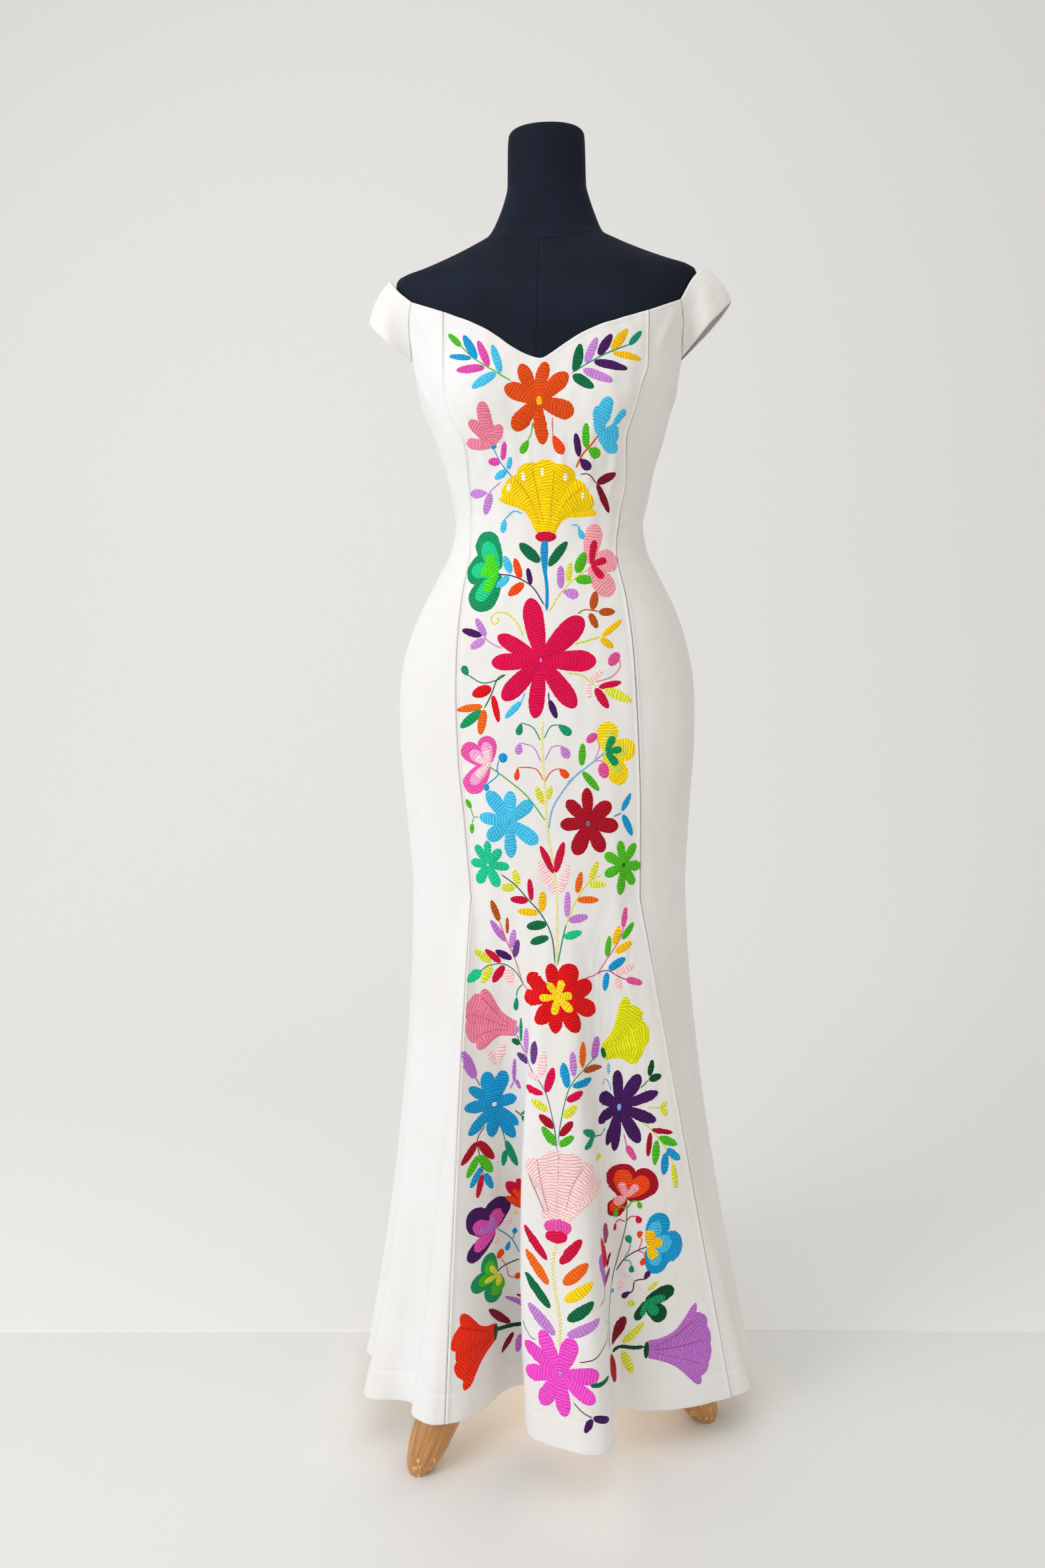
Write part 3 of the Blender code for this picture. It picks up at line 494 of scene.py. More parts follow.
    ("drop", "teal", 0, 11.9, 560, 860, 629, 848),
    ("stem", "lilac", -1, 1.3, 462, 815, 422, 833, 349, 838),
    ("drop", "lilac", 0, 10.6, 349, 838, 338, 824),
    ("stem", "lilac", -1, 1.3, 480, 817, 522, 833, 570, 835),
    ("drop", "lilac", 0, 12.4, 570, 835, 610, 820),
    ("stem", "orange", -1, 1.3, 472, 791, 430, 807, 334, 809),
    ("drop", "orange", 0, 7.3, 334, 809, 320, 793),
    ("stem", "orange", -1, 1.3, 472, 792, 511, 804, 555, 808),
    ("drop", "orange", 0, 10.5, 555, 808, 602, 797),
    ("petal", "hotpink", 0, 171, 812, 170, 846, 27, 28, 833, 27, 40, 778, 31),
    ("petal", "bubble", 1, 176, 812, 164, 839, 18, 69, 827, 18, 64, 787, 18),
    ("petal", "shell", 2, 178, 812, 164, 831, 11, 100, 821, 11, 97, 796, 12),
    ("stem", "green", -1, 1.5, 167, 811, 254, 797, 365, 776, 466, 744),
    ("oval", "blue", 0, 12.4, 256, 826, 254, 814),
    ("stem", "blue", -1, 1.5, 230, 817, 219, 806, 220, 799, 152, 787),
    ("oval", "blue", 0, 8.5, 154, 789, 150, 780),
    ("petal", "sunny", 0, 808, 828, 838, 863, 29, 976, 830, 31, 903, 789, 29),
    ("petal", "lime", 1, 811, 828, 845, 854, 19, 939, 830, 20, 887, 800, 19),
    ("petal", "jade", 2, 812, 828, 856, 847, 12, 907, 830, 12, 871, 810, 13),
    ("stem", "azure", -1, 1.9, 811, 828, 749, 817, 676, 805, 593, 791),
    ("stem", "azure", -1, 1.9, 672, 806, 581, 785, 505, 761, 475, 735),
    ("stem", "rose", -1, 1.3, 749, 818, 777, 834, 760, 848),
    ("oval", "pink", 0, 11.9, 766, 849, 710, 839),
    ("leaf", "green", 0, 9.9, 677, 811, 688, 838),
    ("leaf", "green", 0, 10, 680, 804, 763, 781),
    ("stem", "rose", -1, 1.3, 734, 816, 777, 817, 798, 814),
    ("oval", "pink", 1, 15.5, 794, 815, 799, 796),
    ("stem", "straw", -1, 3.7, 469, 798, 465, 764, 470, 733, 494, 684, 503, 649, 502, 604, 499, 576),
    ("leaf", "lime", 0, 10, 455, 766, 424, 786),
    ("leaf", "lime", 0, 8.4, 478, 770, 505, 787),
    ("petal", "sky", 0, 262, 744, 154, 780, 20, 281, 781, 17, 396, 769, 18, 412, 719, 20, 257, 701, 16,
     134, 722, 20, 94, 749, 16),
    ("oval", "teal", 0, 3, 263, 747, 262, 741),
    ("stem", "green", -1, 1.1, 89, 748, 57, 749, 46, 759),
    ("leaf", "green", 0, 6.8, 48, 758, 25, 769),
    ("stem", "green", -1, 1.1, 60, 748, 45, 740),
    ("leaf", "green", 0, 6.9, 45, 740, 39, 728),
    ("petal", "garnet", 0, 695, 743, 619, 705, 22, 541, 741, 18, 584, 770, 17, 696, 785, 15, 775, 708,
     19, 863, 738, 20, 821, 767, 20),
    ("oval", "slate", 1, 6.4, 695, 746, 694, 739),
    ("stem", "blue", -1, 1.7, 836, 750, 882, 754),
    ("leaf", "blue", 0, 7.9, 886, 756, 940, 777),
    ("leaf", "blue", 0, 10, 891, 752, 946, 726),
    ("petal", "aqua", 0, 122, 692, 57, 715, 12, 129, 721, 11, 202, 711, 13, 244, 690, 12, 172, 666, 14,
     51, 669, 15, 18, 694, 12),
    ("oval", "shell", 0, 3.9, 123, 694, 121, 690),
    ("petal", "green", 0, 891, 691, 871, 721, 12, 965, 717, 12, 999, 689, 14, 956, 667, 13, 868, 656, 12,
     781, 680, 13, 784, 706, 13),
    ("oval", "night", 1, 4.7, 891, 694, 891, 689),
    ("leaf", "crimson", 0, 9.7, 494, 683, 425, 716),
    ("leaf", "crimson", 0, 11.2, 501, 684, 556, 721),
    ("leaf", "shell", 0, 14.1, 495, 658, 407, 699),
    ("leaf", "shell", 0, 12.5, 517, 659, 577, 693),
    ("stem", "forest", -1, 1.5, 192, 681, 270, 669, 345, 651, 420, 634, 475, 611, 495, 577),
    ("leaf", "lime", 0, 10.6, 287, 668, 271, 687),
    ("leaf", "lime", 0, 11.7, 269, 666, 186, 665),
    ("leaf", "crimson", 0, 8.1, 359, 651, 354, 677),
    ("leaf", "crimson", 0, 10.5, 340, 651, 236, 652),
    ("leaf", "yellow", 0, 11.4, 419, 638, 424, 662),
    ("leaf", "yellow", 0, 10, 400, 637, 275, 638),
    ("leaf", "forest", 0, 12.5, 448, 624, 326, 620),
    ("leaf", "forest", 0, 11.3, 461, 609, 348, 601),
    ("stem", "lime", -1, 1.5, 763, 681, 680, 671, 605, 648, 553, 624),
    ("stem", "teal", -1, 1.5, 553, 624, 530, 605, 504, 577),
    ("leaf", "lime", 0, 9.2, 699, 675, 742, 698),
    ("leaf", "lime", 0, 10, 685, 670, 789, 669),
    ("leaf", "tangerine", 0, 9.7, 620, 660, 647, 685),
    ("leaf", "tangerine", 0, 10, 619, 652, 743, 651),
    ("leaf", "lilac", 0, 9.1, 558, 632, 567, 662),
    ("leaf", "lilac", 0, 11.1, 566, 628, 681, 632),
    ("leaf", "mint", 0, 11.1, 538, 609, 641, 614),
    ("stem", "coral", -1, 1.3, 170, 626, 209, 602, 252, 580, 286, 554, 321, 545),
    ("leaf", "brown", 0, 9.2, 170, 625, 124, 650),
    ("leaf", "brown", 0, 4.9, 214, 610, 216, 630),
    ("leaf", "orchid", 0, 9.2, 204, 601, 119, 626),
    ("leaf", "lilac", 0, 9.2, 233, 593, 254, 616),
    ("leaf", "violet", 0, 9.2, 248, 582, 273, 604),
    ("leaf", "purple", 0, 10.2, 235, 580, 147, 590),
    ("stem", "teal", -1, 1.3, 56, 564, 106, 572, 186, 574, 249, 566, 292, 550),
    ("leaf", "mint", 0, 14.1, 64, 567, 7, 555),
    ("leaf", "crimson", 0, 9.7, 177, 576, 88, 591),
    ("leaf", "lime", 0, 11.1, 124, 576, 30, 590),
    ("leaf", "lime", 0, 12.2, 124, 572, 73, 552),
    ("leaf", "crimson", 0, 11.8, 194, 572, 132, 552),
    ("oval", "shell", 0, 13.5, 218, 570, 223, 549),
    ("stem", "pink", -1, 1.3, 644, 560, 725, 564, 785, 582, 846, 602, 878, 618),
    ("leaf", "pink", 0, 8.7, 873, 617, 902, 641),
    ("leaf", "yellow", 0, 10.3, 820, 597, 852, 619),
    ("leaf", "green", 0, 8.5, 781, 583, 798, 608),
    ("leaf", "green", 0, 9.8, 864, 603, 935, 622),
    ("leaf", "yellow", 0, 11.1, 822, 588, 914, 599),
    ("stem", "plum", -1, 1.3, 725, 564, 782, 567, 833, 559, 875, 554),
    ("leaf", "blue", 0, 11.8, 786, 568, 871, 581),
    ("leaf", "blue", 0, 9.1, 778, 565, 763, 543),
    ("leaf", "shell", 0, 12.1, 811, 563, 907, 571),
    ("leaf", "shell", 0, 10.3, 818, 559, 838, 543),
    ("leaf", "pink", 0, 10.2, 865, 556, 934, 549),
    ("petal", "red", 0, 509, 542, 291, 535, 21, 432, 511, 22, 496, 500, 18, 593, 501, 23, 710, 519, 22,
     692, 553, 24, 332, 565, 22, 468, 579, 17, 581, 578, 28),
    ("petal", "sunny", 1, 505, 542, 436, 540, 12, 492, 520, 13, 567, 524, 14, 575, 543, 13, 465, 558, 13,
     530, 562, 13),
    ("stem", "teal", -1, 1.5, 286, 551, 260, 544, 250, 535),
    ("drop", "teal", 0, 7.3, 252, 535, 244, 518),
    ("fan", "rose", 0, 243, 496, 82, 545, 26, 59, 475, 26, 13, 531, 35, 11, 498, 37, 12, 515, 35),
    ("stem", "pink", 1, 0.9, 222, 499, 144, 517, 64, 537),
    ("stem", "pink", 1, 0.9, 222, 497, 124, 507, 21, 518),
    ("stem", "pink", 1, 0.9, 222, 494, 134, 496, 36, 491),
    ("oval", "lilac", 0, 7.3, 246, 500, 240, 490),
    ("fan", "lemon", 0, 747, 470, 856, 535, 27, 875, 456, 28, 900, 512, 36, 932, 493, 35, 912, 475, 34,
     888, 524, 30, 893, 463, 24),
    ("stem", "lime", 1, 0.9, 766, 476, 837, 500, 885, 521),
    ("stem", "lime", 1, 0.9, 770, 474, 854, 487, 909, 501),
    ("stem", "lime", 1, 0.9, 769, 471, 857, 475, 916, 477),
    ("oval", "forest", 1, 7.1, 739, 477, 752, 464),
    ("stem", "slate", -1, 1.2, 242, 490, 267, 473, 293, 459),
    ("stem", "slate", -1, 1.2, 408, 468, 438, 455, 472, 434, 494, 397, 503, 368),
    ("leaf", "teal", 0, 4.6, 261, 481, 267, 510),
    ("leaf", "forest", 0, 8.9, 257, 478, 222, 483),
    ("leaf", "lilac", 0, 9.7, 287, 467, 297, 499),
    ("leaf", "violet", 0, 10.5, 435, 464, 434, 491),
    ("leaf", "violet", 0, 9.5, 290, 455, 243, 467),
    ("leaf", "shell", 0, 12.5, 459, 451, 465, 480),
    ("leaf", "shell", 0, 9, 455, 448, 415, 456),
    ("leaf", "cerise", 0, 11.8, 474, 434, 491, 462),
    ("leaf", "cerise", 0, 9.4, 467, 432, 413, 439),
    ("leaf", "lime", 0, 10, 479, 414, 437, 425),
    ("leaf", "garnet", 0, 11.1, 494, 395, 459, 409),
    ("leaf", "green", 0, 11.1, 499, 376, 466, 396),
    ("stem", "teal", -1, 1.2, 738, 470, 605, 457, 546, 440, 514, 404, 503, 372),
    ("leaf", "orchid", 0, 12.2, 687, 464, 716, 491),
    ("leaf", "tangerine", 0, 12.6, 605, 460, 614, 489),
    ("leaf", "brown", 0, 9.5, 609, 456, 736, 454),
    ("leaf", "lilac", 0, 9.7, 564, 452, 561, 480),
    ("leaf", "blue", 0, 11.2, 539, 440, 524, 468),
    ("leaf", "blue", 0, 10.2, 556, 442, 663, 444),
    ("leaf", "cerise", 0, 10.8, 534, 426, 599, 434),
    ("leaf", "lime", 0, 11.8, 521, 407, 570, 420),
    ("leaf", "garnet", 0, 10.9, 509, 387, 554, 403),
    ("leaf", "green", 0, 10.2, 508, 376, 556, 387),
    ("leaf", "orchid", 0, 15.6, 50, 443, 2, 476),
    ("stem", "plum", -1, 1.3, 50, 444, 70, 433),
    ("drop", "shell", 0, 10.3, 148, 453, 106, 472),
    ("drop", "shell", 0, 12.7, 157, 453, 185, 480),
    ("stem", "shell", -1, 1.3, 153, 453, 152, 440),
    ("stem", "orchid", -1, 1.7, 210, 423, 229, 435),
    ("leaf", "orchid", 0, 5.5, 225, 433, 231, 460),
    ("leaf", "orchid", 0, 5.5, 232, 435, 248, 423),
    ("petal", "blue", 0, 137, 408, 27, 433, 14, 16, 411, 16, 31, 380, 16, 235, 379, 14, 233, 412, 16,
     221, 364, 16, 127, 370, 20, 93, 448, 21, 187, 446, 20),
    ("oval", "white", 1, 8.9, 137, 412, 137, 405),
    ("stem", "forest", -1, 1.5, 225, 397, 252, 389),
    ("drop", "jade", 0, 9.6, 243, 392, 312, 402),
    ("leaf", "forest", 0, 10.4, 249, 390, 312, 364),
    ("stem", "maroon", -1, 1.3, 95, 386, 62, 372, 76, 348, 88, 330),
    ("leaf", "garnet", 0, 10.9, 59, 370, 14, 348),
    ("leaf", "garnet", 0, 12.6, 65, 370, 136, 344),
    ("leaf", "green", 0, 12, 66, 354, 30, 332),
    ("leaf", "green", 0, 14.1, 70, 353, 127, 330),
    ("leaf", "blue", 0, 10.6, 81, 340, 41, 320),
    ("leaf", "blue", 0, 11, 92, 331, 129, 310),
    ("leaf", "crimson", 0, 10.6, 85, 331, 65, 306),
    ("stem", "teal", -1, 1.3, 168, 382, 184, 364, 190, 349),
    ("leaf", "teal", 0, 10.3, 189, 361, 226, 329),
    ("leaf", "teal", 0, 9.1, 186, 350, 178, 331),
    ("petal", "purple", 0, 797, 406, 748, 360, 11, 771, 353, 12, 709, 389, 15, 721, 422, 18, 854, 362,
     17, 914, 386, 15, 934, 419, 14, 798, 449, 14, 880, 442, 18),
    ("oval", "azure", 1, 6.4, 798, 411, 796, 401),
    ("stem", "forest", -1, 1.3, 877, 426, 910, 435),
    ("leaf", "night", 0, 8.5, 913, 439, 930, 458),
    ("leaf", "night", 0, 11, 909, 435, 952, 438),
    ("stem", "azure", -1, 1.3, 772, 425, 764, 435, 747, 439, 736, 433),
    ("leaf", "azure", 0, 4.1, 765, 444, 767, 458),
    ("stem", "lime", -1, 1.5, 894, 402, 933, 401),
    ("drop", "lime", 0, 8.6, 930, 400, 956, 405),
    ("drop", "lime", 0, 8.8, 931, 400, 952, 391),
    ("stem", "teal", -1, 1.5, 743, 381, 718, 375, 665, 378),
    ("leaf", "teal", 0, 10.5, 670, 378, 589, 391),
    ("leaf", "teal", 0, 10.6, 652, 379, 592, 371),
    ("stem", "pink", -1, 1.3, 806, 374, 812, 359),
    ("leaf", "pink", 0, 9.6, 812, 360, 836, 342),
    ("stem", "lime", -1, 1.3, 867, 386, 896, 376, 929, 354, 947, 333),
    ("leaf", "garnet", 0, 7.3, 896, 376, 960, 369),
    ("leaf", "garnet", 0, 8.3, 892, 373, 875, 345),
    ("leaf", "green", 0, 11.2, 915, 366, 967, 354),
    ("leaf", "green", 0, 10.7, 908, 363, 893, 334),
    ("leaf", "blue", 0, 11.3, 933, 351, 968, 336),
    ("leaf", "blue", 0, 11.6, 929, 347, 915, 321),
    ("leaf", "lime", 0, 8.5, 945, 333, 944, 303),
    ("oval", "lime", 0, 16.8, 692, 356, 688, 348),
    ("fan", "shell", 0, 500, 293, 712, 321, 25, 432, 356, 44, 631, 346, 40, 478, 368, 37, 545, 368, 39),
    ("stem", "mauve", 1, 0.8, 476, 301, 458, 323, 439, 343),
    ("stem", "mauve", 1, 0.8, 484, 301, 468, 332, 458, 361),
    ("stem", "mauve", 1, 0.8, 501, 302, 504, 337, 506, 370),
    ("stem", "mauve", 1, 0.8, 522, 303, 545, 332, 585, 354),
    ("petal", "garnet", 0, 797, 298, 744, 278, 24, 788, 338, 42, 890, 324, 40),
    ("petal", "orange", 1, 798, 300, 751, 282, 16, 790, 332, 30, 870, 320, 28),
    ("petal", "blush", 2, 800, 300, 762, 290, 13, 785, 318, 13, 839, 314, 13),
    ("petal", "crimson", 0, 312, 262, 186, 311, 18, 222, 313, 15),
    ("petal", "orange", 1, 312, 262, 186, 293, 11, 207, 301, 11, 232, 302, 10),
    ("oval", "hotpink", 1, 20.5, 473, 288, 541, 288),
    ("oval", "cerise", 2, 28.3, 502, 286, 502, 270),
    ("petal", "purple", 0, 140, 260, 144, 297, 48, 34, 289, 35, 37, 240, 24),
    ("petal", "magenta", 1, 140, 261, 146, 285, 33, 50, 277, 22, 55, 248, 19),
    ("petal", "orchid", 2, 140, 262, 112, 277, 17, 67, 269, 12),
    ("petal", "jade", 0, 147, 206, 92, 234, 30, 48, 209, 25, 120, 178, 40),
    ("petal", "green", 1, 147, 206, 98, 227, 20, 70, 210, 17, 143, 182, 32),
    ("petal", "lime", 2, 147, 206, 112, 222, 10, 90, 208, 9, 154, 191, 16),
    ("stem", "purple", -1, 1.6, 146, 208, 189, 212, 222, 214),
    ("stem", "orange", -1, 1.2, 184, 210, 164, 222),
    ("oval", "orange", 0, 14.7, 161, 233, 161, 222),
    ("stem", "orange", -1, 1.2, 184, 210, 190, 197, 208, 192),
    ("oval", "orange", 0, 9.8, 215, 198, 215, 190),
    ("stem", "blue", -1, 1.4, 148, 260, 190, 246, 208, 236, 222, 222),
    ("stem", "blue", -1, 1.2, 204, 240, 210, 248),
    ("oval", "blue", 0, 7.4, 211, 254, 210, 246),
    ("drop", "blue", 0, 8.2, 195, 239, 184, 228),
    ("oval", "shell", 0, 7.6, 197, 267, 196, 259),
    ("oval", "lime", 0, 4.8, 215, 275, 214, 270),
    ("oval", "shell", 0, 11.7, 146, 249, 146, 240),
    ("leaf", "orchid", 0, 8.4, 312, 135, 177, 173),
    ("leaf", "garnet", 1, 6, 312, 144, 209, 172),
    ("leaf", "maroon", 0, 10.7, 192, 139, 111, 172),
    ("leaf", "maroon", 0, 10.2, 200, 126, 164, 108),
    ("leaf", "orchid", 0, 11.2, 216, 122, 208, 100),
    ("fan", "scarlet", 0, 135, 141, 27, 183, 26, 40, 98, 25, 12, 163, 36, 17, 136, 36, 22, 116, 30),
    ("stem", "crimson", 1, 0.8, 120, 145, 67, 159, 24, 169),
    ("stem", "crimson", 1, 0.7, 120, 144, 62, 142, 26, 137),
    ("stem", "crimson", 1, 0.7, 120, 141, 68, 127, 39, 114),
    ("oval", "night", 0, 11.8, 137, 150, 138, 130),
    ("stem", "night", -1, 4.7, 140, 142, 185, 136, 312, 130),
    ("stem", "straw", -1, 4.4, 499, 270, 491, 246, 498, 212, 506, 188, 504, 160),
    ("leaf", "crimson", 0, 11, 480, 251, 433, 285),
    ("leaf", "crimson", 0, 14.4, 507, 249, 567, 276),
    ("leaf", "tangerine", 0, 12, 483, 225, 438, 259),
    ("leaf", "tangerine", 0, 15.4, 514, 228, 582, 250),
    ("leaf", "forest", 0, 12, 486, 200, 436, 234),
    ("leaf", "sunny", 0, 14.4, 516, 210, 593, 229),
    ("leaf", "forest", 0, 14.4, 523, 190, 592, 209),
    ("leaf", "lilac", 0, 13.9, 495, 172, 443, 201),
    ("leaf", "lilac", 0, 13.2, 522, 174, 607, 189),
    ("petal", "fuchsia", 0, 506, 133, 433, 158, 18, 433, 126, 20, 466, 96, 21, 514, 89, 20, 581, 107, 18,
     594, 134, 20, 536, 172, 23, 467, 175, 18),
    ("oval", "lilac", 1, 6.9, 507, 136, 506, 130),
    ("stem", "forest", -1, 4.7, 633, 122, 599, 123, 572, 125),
    ("stem", "maroon", -1, 1.1, 549, 148, 587, 151, 629, 158, 711, 162),
    ("stem", "teal", -1, 0.9, 428, 179, 444, 166, 458, 163),
    ("stem", "night", -1, 1.1, 534, 106, 552, 98, 573, 92),
    ("leaf", "purple", 0, 9, 572, 91, 556, 77),
    ("leaf", "purple", 0, 9.1, 574, 92, 616, 83),
    ("stem", "olive", -1, 1.2, 801, 299, 795, 270, 771, 235, 751, 208, 733, 181, 722, 157, 719, 126),
    ("stem", "green", 1, 1.2, 801, 286, 816, 294, 832, 294),
    ("drop", "green", 0, 6.6, 832, 294, 838, 285),
    ("stem", "green", 2, 1.2, 796, 286, 781, 288, 769, 284),
    ("drop", "green", 2, 6.6, 770, 285, 763, 275),
    ("stem", "crimson", -1, 1.2, 794, 270, 808, 276, 823, 276),
    ("drop", "crimson", 0, 8.9, 824, 277, 833, 268),
    ("stem", "crimson", -1, 1.2, 792, 270, 776, 272, 765, 268),
    ("drop", "crimson", 0, 4.2, 765, 268, 760, 258),
    ("stem", "orange", -1, 1.2, 822, 237, 832, 247, 830, 251),
    ("drop", "orange", 0, 8.8, 825, 250, 831, 259),
    ("stem", "orange", -1, 1.2, 818, 236, 834, 233, 836, 228),
    ("drop", "orange", 0, 7.7, 836, 228, 825, 218),
    ("stem", "teal", -1, 1.1, 783, 228, 795, 235, 802, 244),
    ("drop", "teal", 0, 9.6, 802, 244, 794, 254),
    ("stem", "teal", -1, 1.1, 780, 224, 795, 224, 800, 219),
    ("drop", "teal", 0, 7.7, 800, 219, 799, 210),
    ("stem", "purple", -1, 1.3, 848, 240, 818, 236, 783, 226, 758, 210),
    ("stem", "purple", -1, 1.5, 830, 202, 805, 200, 799, 190, 786, 184),
    ("drop", "purple", 0, 7.7, 828, 201, 845, 211),
    ("drop", "purple", 0, 7.7, 790, 188, 770, 179),
    ("leaf", "lime", 0, 6.3, 833, 188, 864, 198),
    ("oval", "lime", 0, 8, 803, 175, 782, 173),
    ("stem", "shell", -1, 1.1, 757, 207, 788, 207, 814, 194, 836, 180),
    ("leaf", "shell", 0, 7.7, 775, 202, 764, 186),
    ("leaf", "plum", 0, 14, 724, 248, 722, 272),
    ("leaf", "crimson", 0, 19, 718, 222, 672, 263),
    ("leaf", "orchid", 0, 26, 708, 202, 630, 250),
    ("leaf", "plum", 1, 6.7, 704, 204, 740, 217),
    ("leaf", "maroon", 0, 5.7, 723, 221, 746, 234),
    ("stem", "plum", -1, 1.1, 699, 206, 610, 200),
    ("oval", "blue", 0, 5.6, 746, 191, 745, 186),
    ("petal", "blue", 0, 851, 240, 899, 277, 32, 938, 236, 40, 875, 209, 32),
    ("petal", "sky", 1, 850, 241, 883, 269, 21, 912, 241, 27, 869, 217, 21),
    ("petal", "yellow", 2, 850, 242, 863, 260, 16, 889, 244, 16, 862, 224, 16),
    ("petal", "night", 0, 827, 176, 800, 154, 12, 869, 154, 24, 901, 188, 20),
    ("petal", "jade", 1, 827, 175, 814, 159, 9, 854, 160, 16, 878, 180, 13),
    ("fan", "orchid", 0, 823, 120, 949, 166, 19, 931, 71, 23, 974, 128, 38, 963, 97, 38, 966, 150, 28,
     950, 84, 26),
    ("stem", "plum", 1, 0.8, 831, 121, 891, 134, 942, 148),
    ("stem", "plum", 1, 0.8, 831, 119, 895, 120, 958, 121),
    ("stem", "plum", 1, 0.8, 831, 117, 891, 107, 942, 94),
    ("oval", "night", 0, 7.7, 822, 129, 816, 109),
    ("stem", "night", -1, 4.6, 814, 123, 769, 121, 734, 119),
    ("leaf", "maroon", 0, 15.6, 735, 127, 776, 157),
    ("leaf", "lime", 0, 9.4, 764, 125, 820, 152),
    ("leaf", "lime", 0, 13.6, 763, 116, 784, 91),
    ("leaf", "garnet", 0, 15.7, 723, 119, 742, 82),
)

# Camera: metres from the pole, height, and degrees round from the front toward +X. Its focal
# length, its shift and the picture's height are in pixels of the photo.
CAMERA_REACH = 1.462
CAMERA_HEIGHT = 0.964
CAMERA_TURN = 3.0
CAMERA_FOCUS = 1710.0
CAMERA_SHIFT = (-35.0, -221.0)
PICTURE_HEIGHT = 2352.0
SENSOR = 36.0

# Stage: metres from the pole to the floor's line and its groove's size, then to the cove and the
# stage's edges
FLOOR_LINE = 0.118
FLOOR_GROOVE = 0.005
FLOOR_END = 0.85
COVE_START = 1.0
COVE_RADIUS = 1.6
COVE_STEPS = 16
STAGE_REACH = 5.0

# name, place, size, power setting, colour, height on the middle axis that it faces
LAMPS = (
    ("window", (-2.6, -2.2, 1.9), 1.8, "key_power", "#f5f7ff", 0.8),
    ("fill", (2.2, -2.6, 1.2), 2.6, "fill_power", "#ffe0bf", 0.8),
    ("ceiling", (-0.4, -0.9, 3.6), 2.6, "top_power", "#fffcf8", 0.8),
    ("bounce", (0.0, 0.01, 0.19), 0.17, "bounce_power", "#ffedd8", 0.0),
)

# Sampling
RING_SAMPLES = 720
TURN_SAMPLES = 16

# Creases that the cloth shows: ridges where it is pulled or starts to fold, and hollows
# place (piece number plus share) and height at the start, then at the end, half width, rise, mm
CREASES = (
    (0.08, 1.262, 0.13, 1.15, 5.0, 2.0),
    (0.22, 1.235, 0.25, 1.14, 4.0, 1.5),
    (0.38, 1.205, 0.41, 1.15, 4.0, 1.2),
    (0.61, 1.215, 0.58, 1.15, 4.0, 1.2),
    (0.79, 1.235, 0.74, 1.13, 4.5, 1.7),
    (0.93, 1.215, 0.88, 1.11, 5.0, 2.0),
    (-0.2, 1.118, 0.16, 1.098, 5.0, 1.8),
    (-0.24, 1.085, 0.1, 1.072, 5.0, 1.5),
    (0.86, 1.092, 1.3, 1.122, 5.0, 2.0),
    (0.92, 1.058, 1.34, 1.066, 6.0, 1.7),
    (0.05, 1.02, 0.03, 0.8, 9.0, 1.2),
    (0.94, 1.0, 0.97, 0.76, 8.0, 1.2),
    (-0.44, 0.99, -0.38, 0.64, 14.0, 1.6),
    (1.46, 0.99, 1.42, 0.66, 14.0, 1.6),
    (0.16, 0.9, 0.11, 0.56, 10.0, 1.5),
    (0.34, 0.7, 0.3, 0.43, 12.0, 2.0),
    (0.84, 0.86, 0.86, 0.52, 10.0, 1.5),
    (0.6, 0.64, 0.56, 0.4, 14.0, 2.0),
    (0.47, 0.76, 0.45, 0.56, 8.0, -0.9),
    (0.72, 0.6, 0.78, 0.33, 12.0, 1.6),
    (1.38, 1.374, 1.08, 1.3, 6.0, 2.1),
    (1.66, 1.305, 1.24, 1.236, 6.0, 2.2),
    (1.92, 1.296, 1.6, 1.205, 7.0, 2.0),
    (-0.38, 1.372, -0.08, 1.3, 6.0, 2.0),
    (-0.66, 1.305, -0.26, 1.24, 6.0, 2.1),
    (-0.92, 1.296, -0.58, 1.21, 7.0, 1.8),
    (1.55, 0.62, 1.5, 0.24, 12.0, 2.2),
    (-0.55, 0.6, -0.62, 0.2, 13.0, 2.4),
    (-0.03, 0.56, -0.22, -0.1, 7.0, 3.0),
    (-0.13, 0.52, -0.34, -0.08, 9.0, -2.4),
    (2.1, 1.13, 2.6, 1.11, 6.0, 2.0),
    (2.05, 1.085, 2.45, 1.07, 6.0, 1.7),
    (3.92, 1.125, 3.45, 1.105, 6.0, 1.8),
    (3.95, 1.08, 3.62, 1.072, 6.0, 1.5),
    (2.96, 1.18, 2.94, 1.04, 6.0, 1.8),
    (3.1, 1.165, 3.07, 1.06, 5.0, 1.5),
    (2.3, 1.0, 2.26, 0.7, 14.0, 1.7),
    (2.72, 0.96, 2.76, 0.64, 13.0, 1.6),
    (3.34, 0.98, 3.3, 0.66, 14.0, 1.7),
    (3.7, 0.94, 3.76, 0.62, 13.0, 1.6),
    (2.18, 0.6, 2.12, 0.25, 12.0, 2.2),
    (2.55, 0.56, 2.6, 0.23, 12.0, 2.0),
    (3.15, 0.58, 3.12, 0.24, 12.0, 2.2),
    (3.58, 0.6, 3.63, 0.26, 12.0, 2.1),
    (2.3, 1.33, 2.1, 1.24, 6.0, 1.8),
    (3.72, 1.332, 3.9, 1.235, 6.0, 1.8),
)

# Soft uneven ripples of the sewn cloth: height, and lengths across, up and of their drift
RIPPLE = 0.0008
RIPPLE_ACROSS = 0.036
RIPPLE_UP = 0.064
RIPPLE_DRIFT = 0.110
RIPPLE_EDGE = 0.012
BODICE_BOTTOM = 1.08

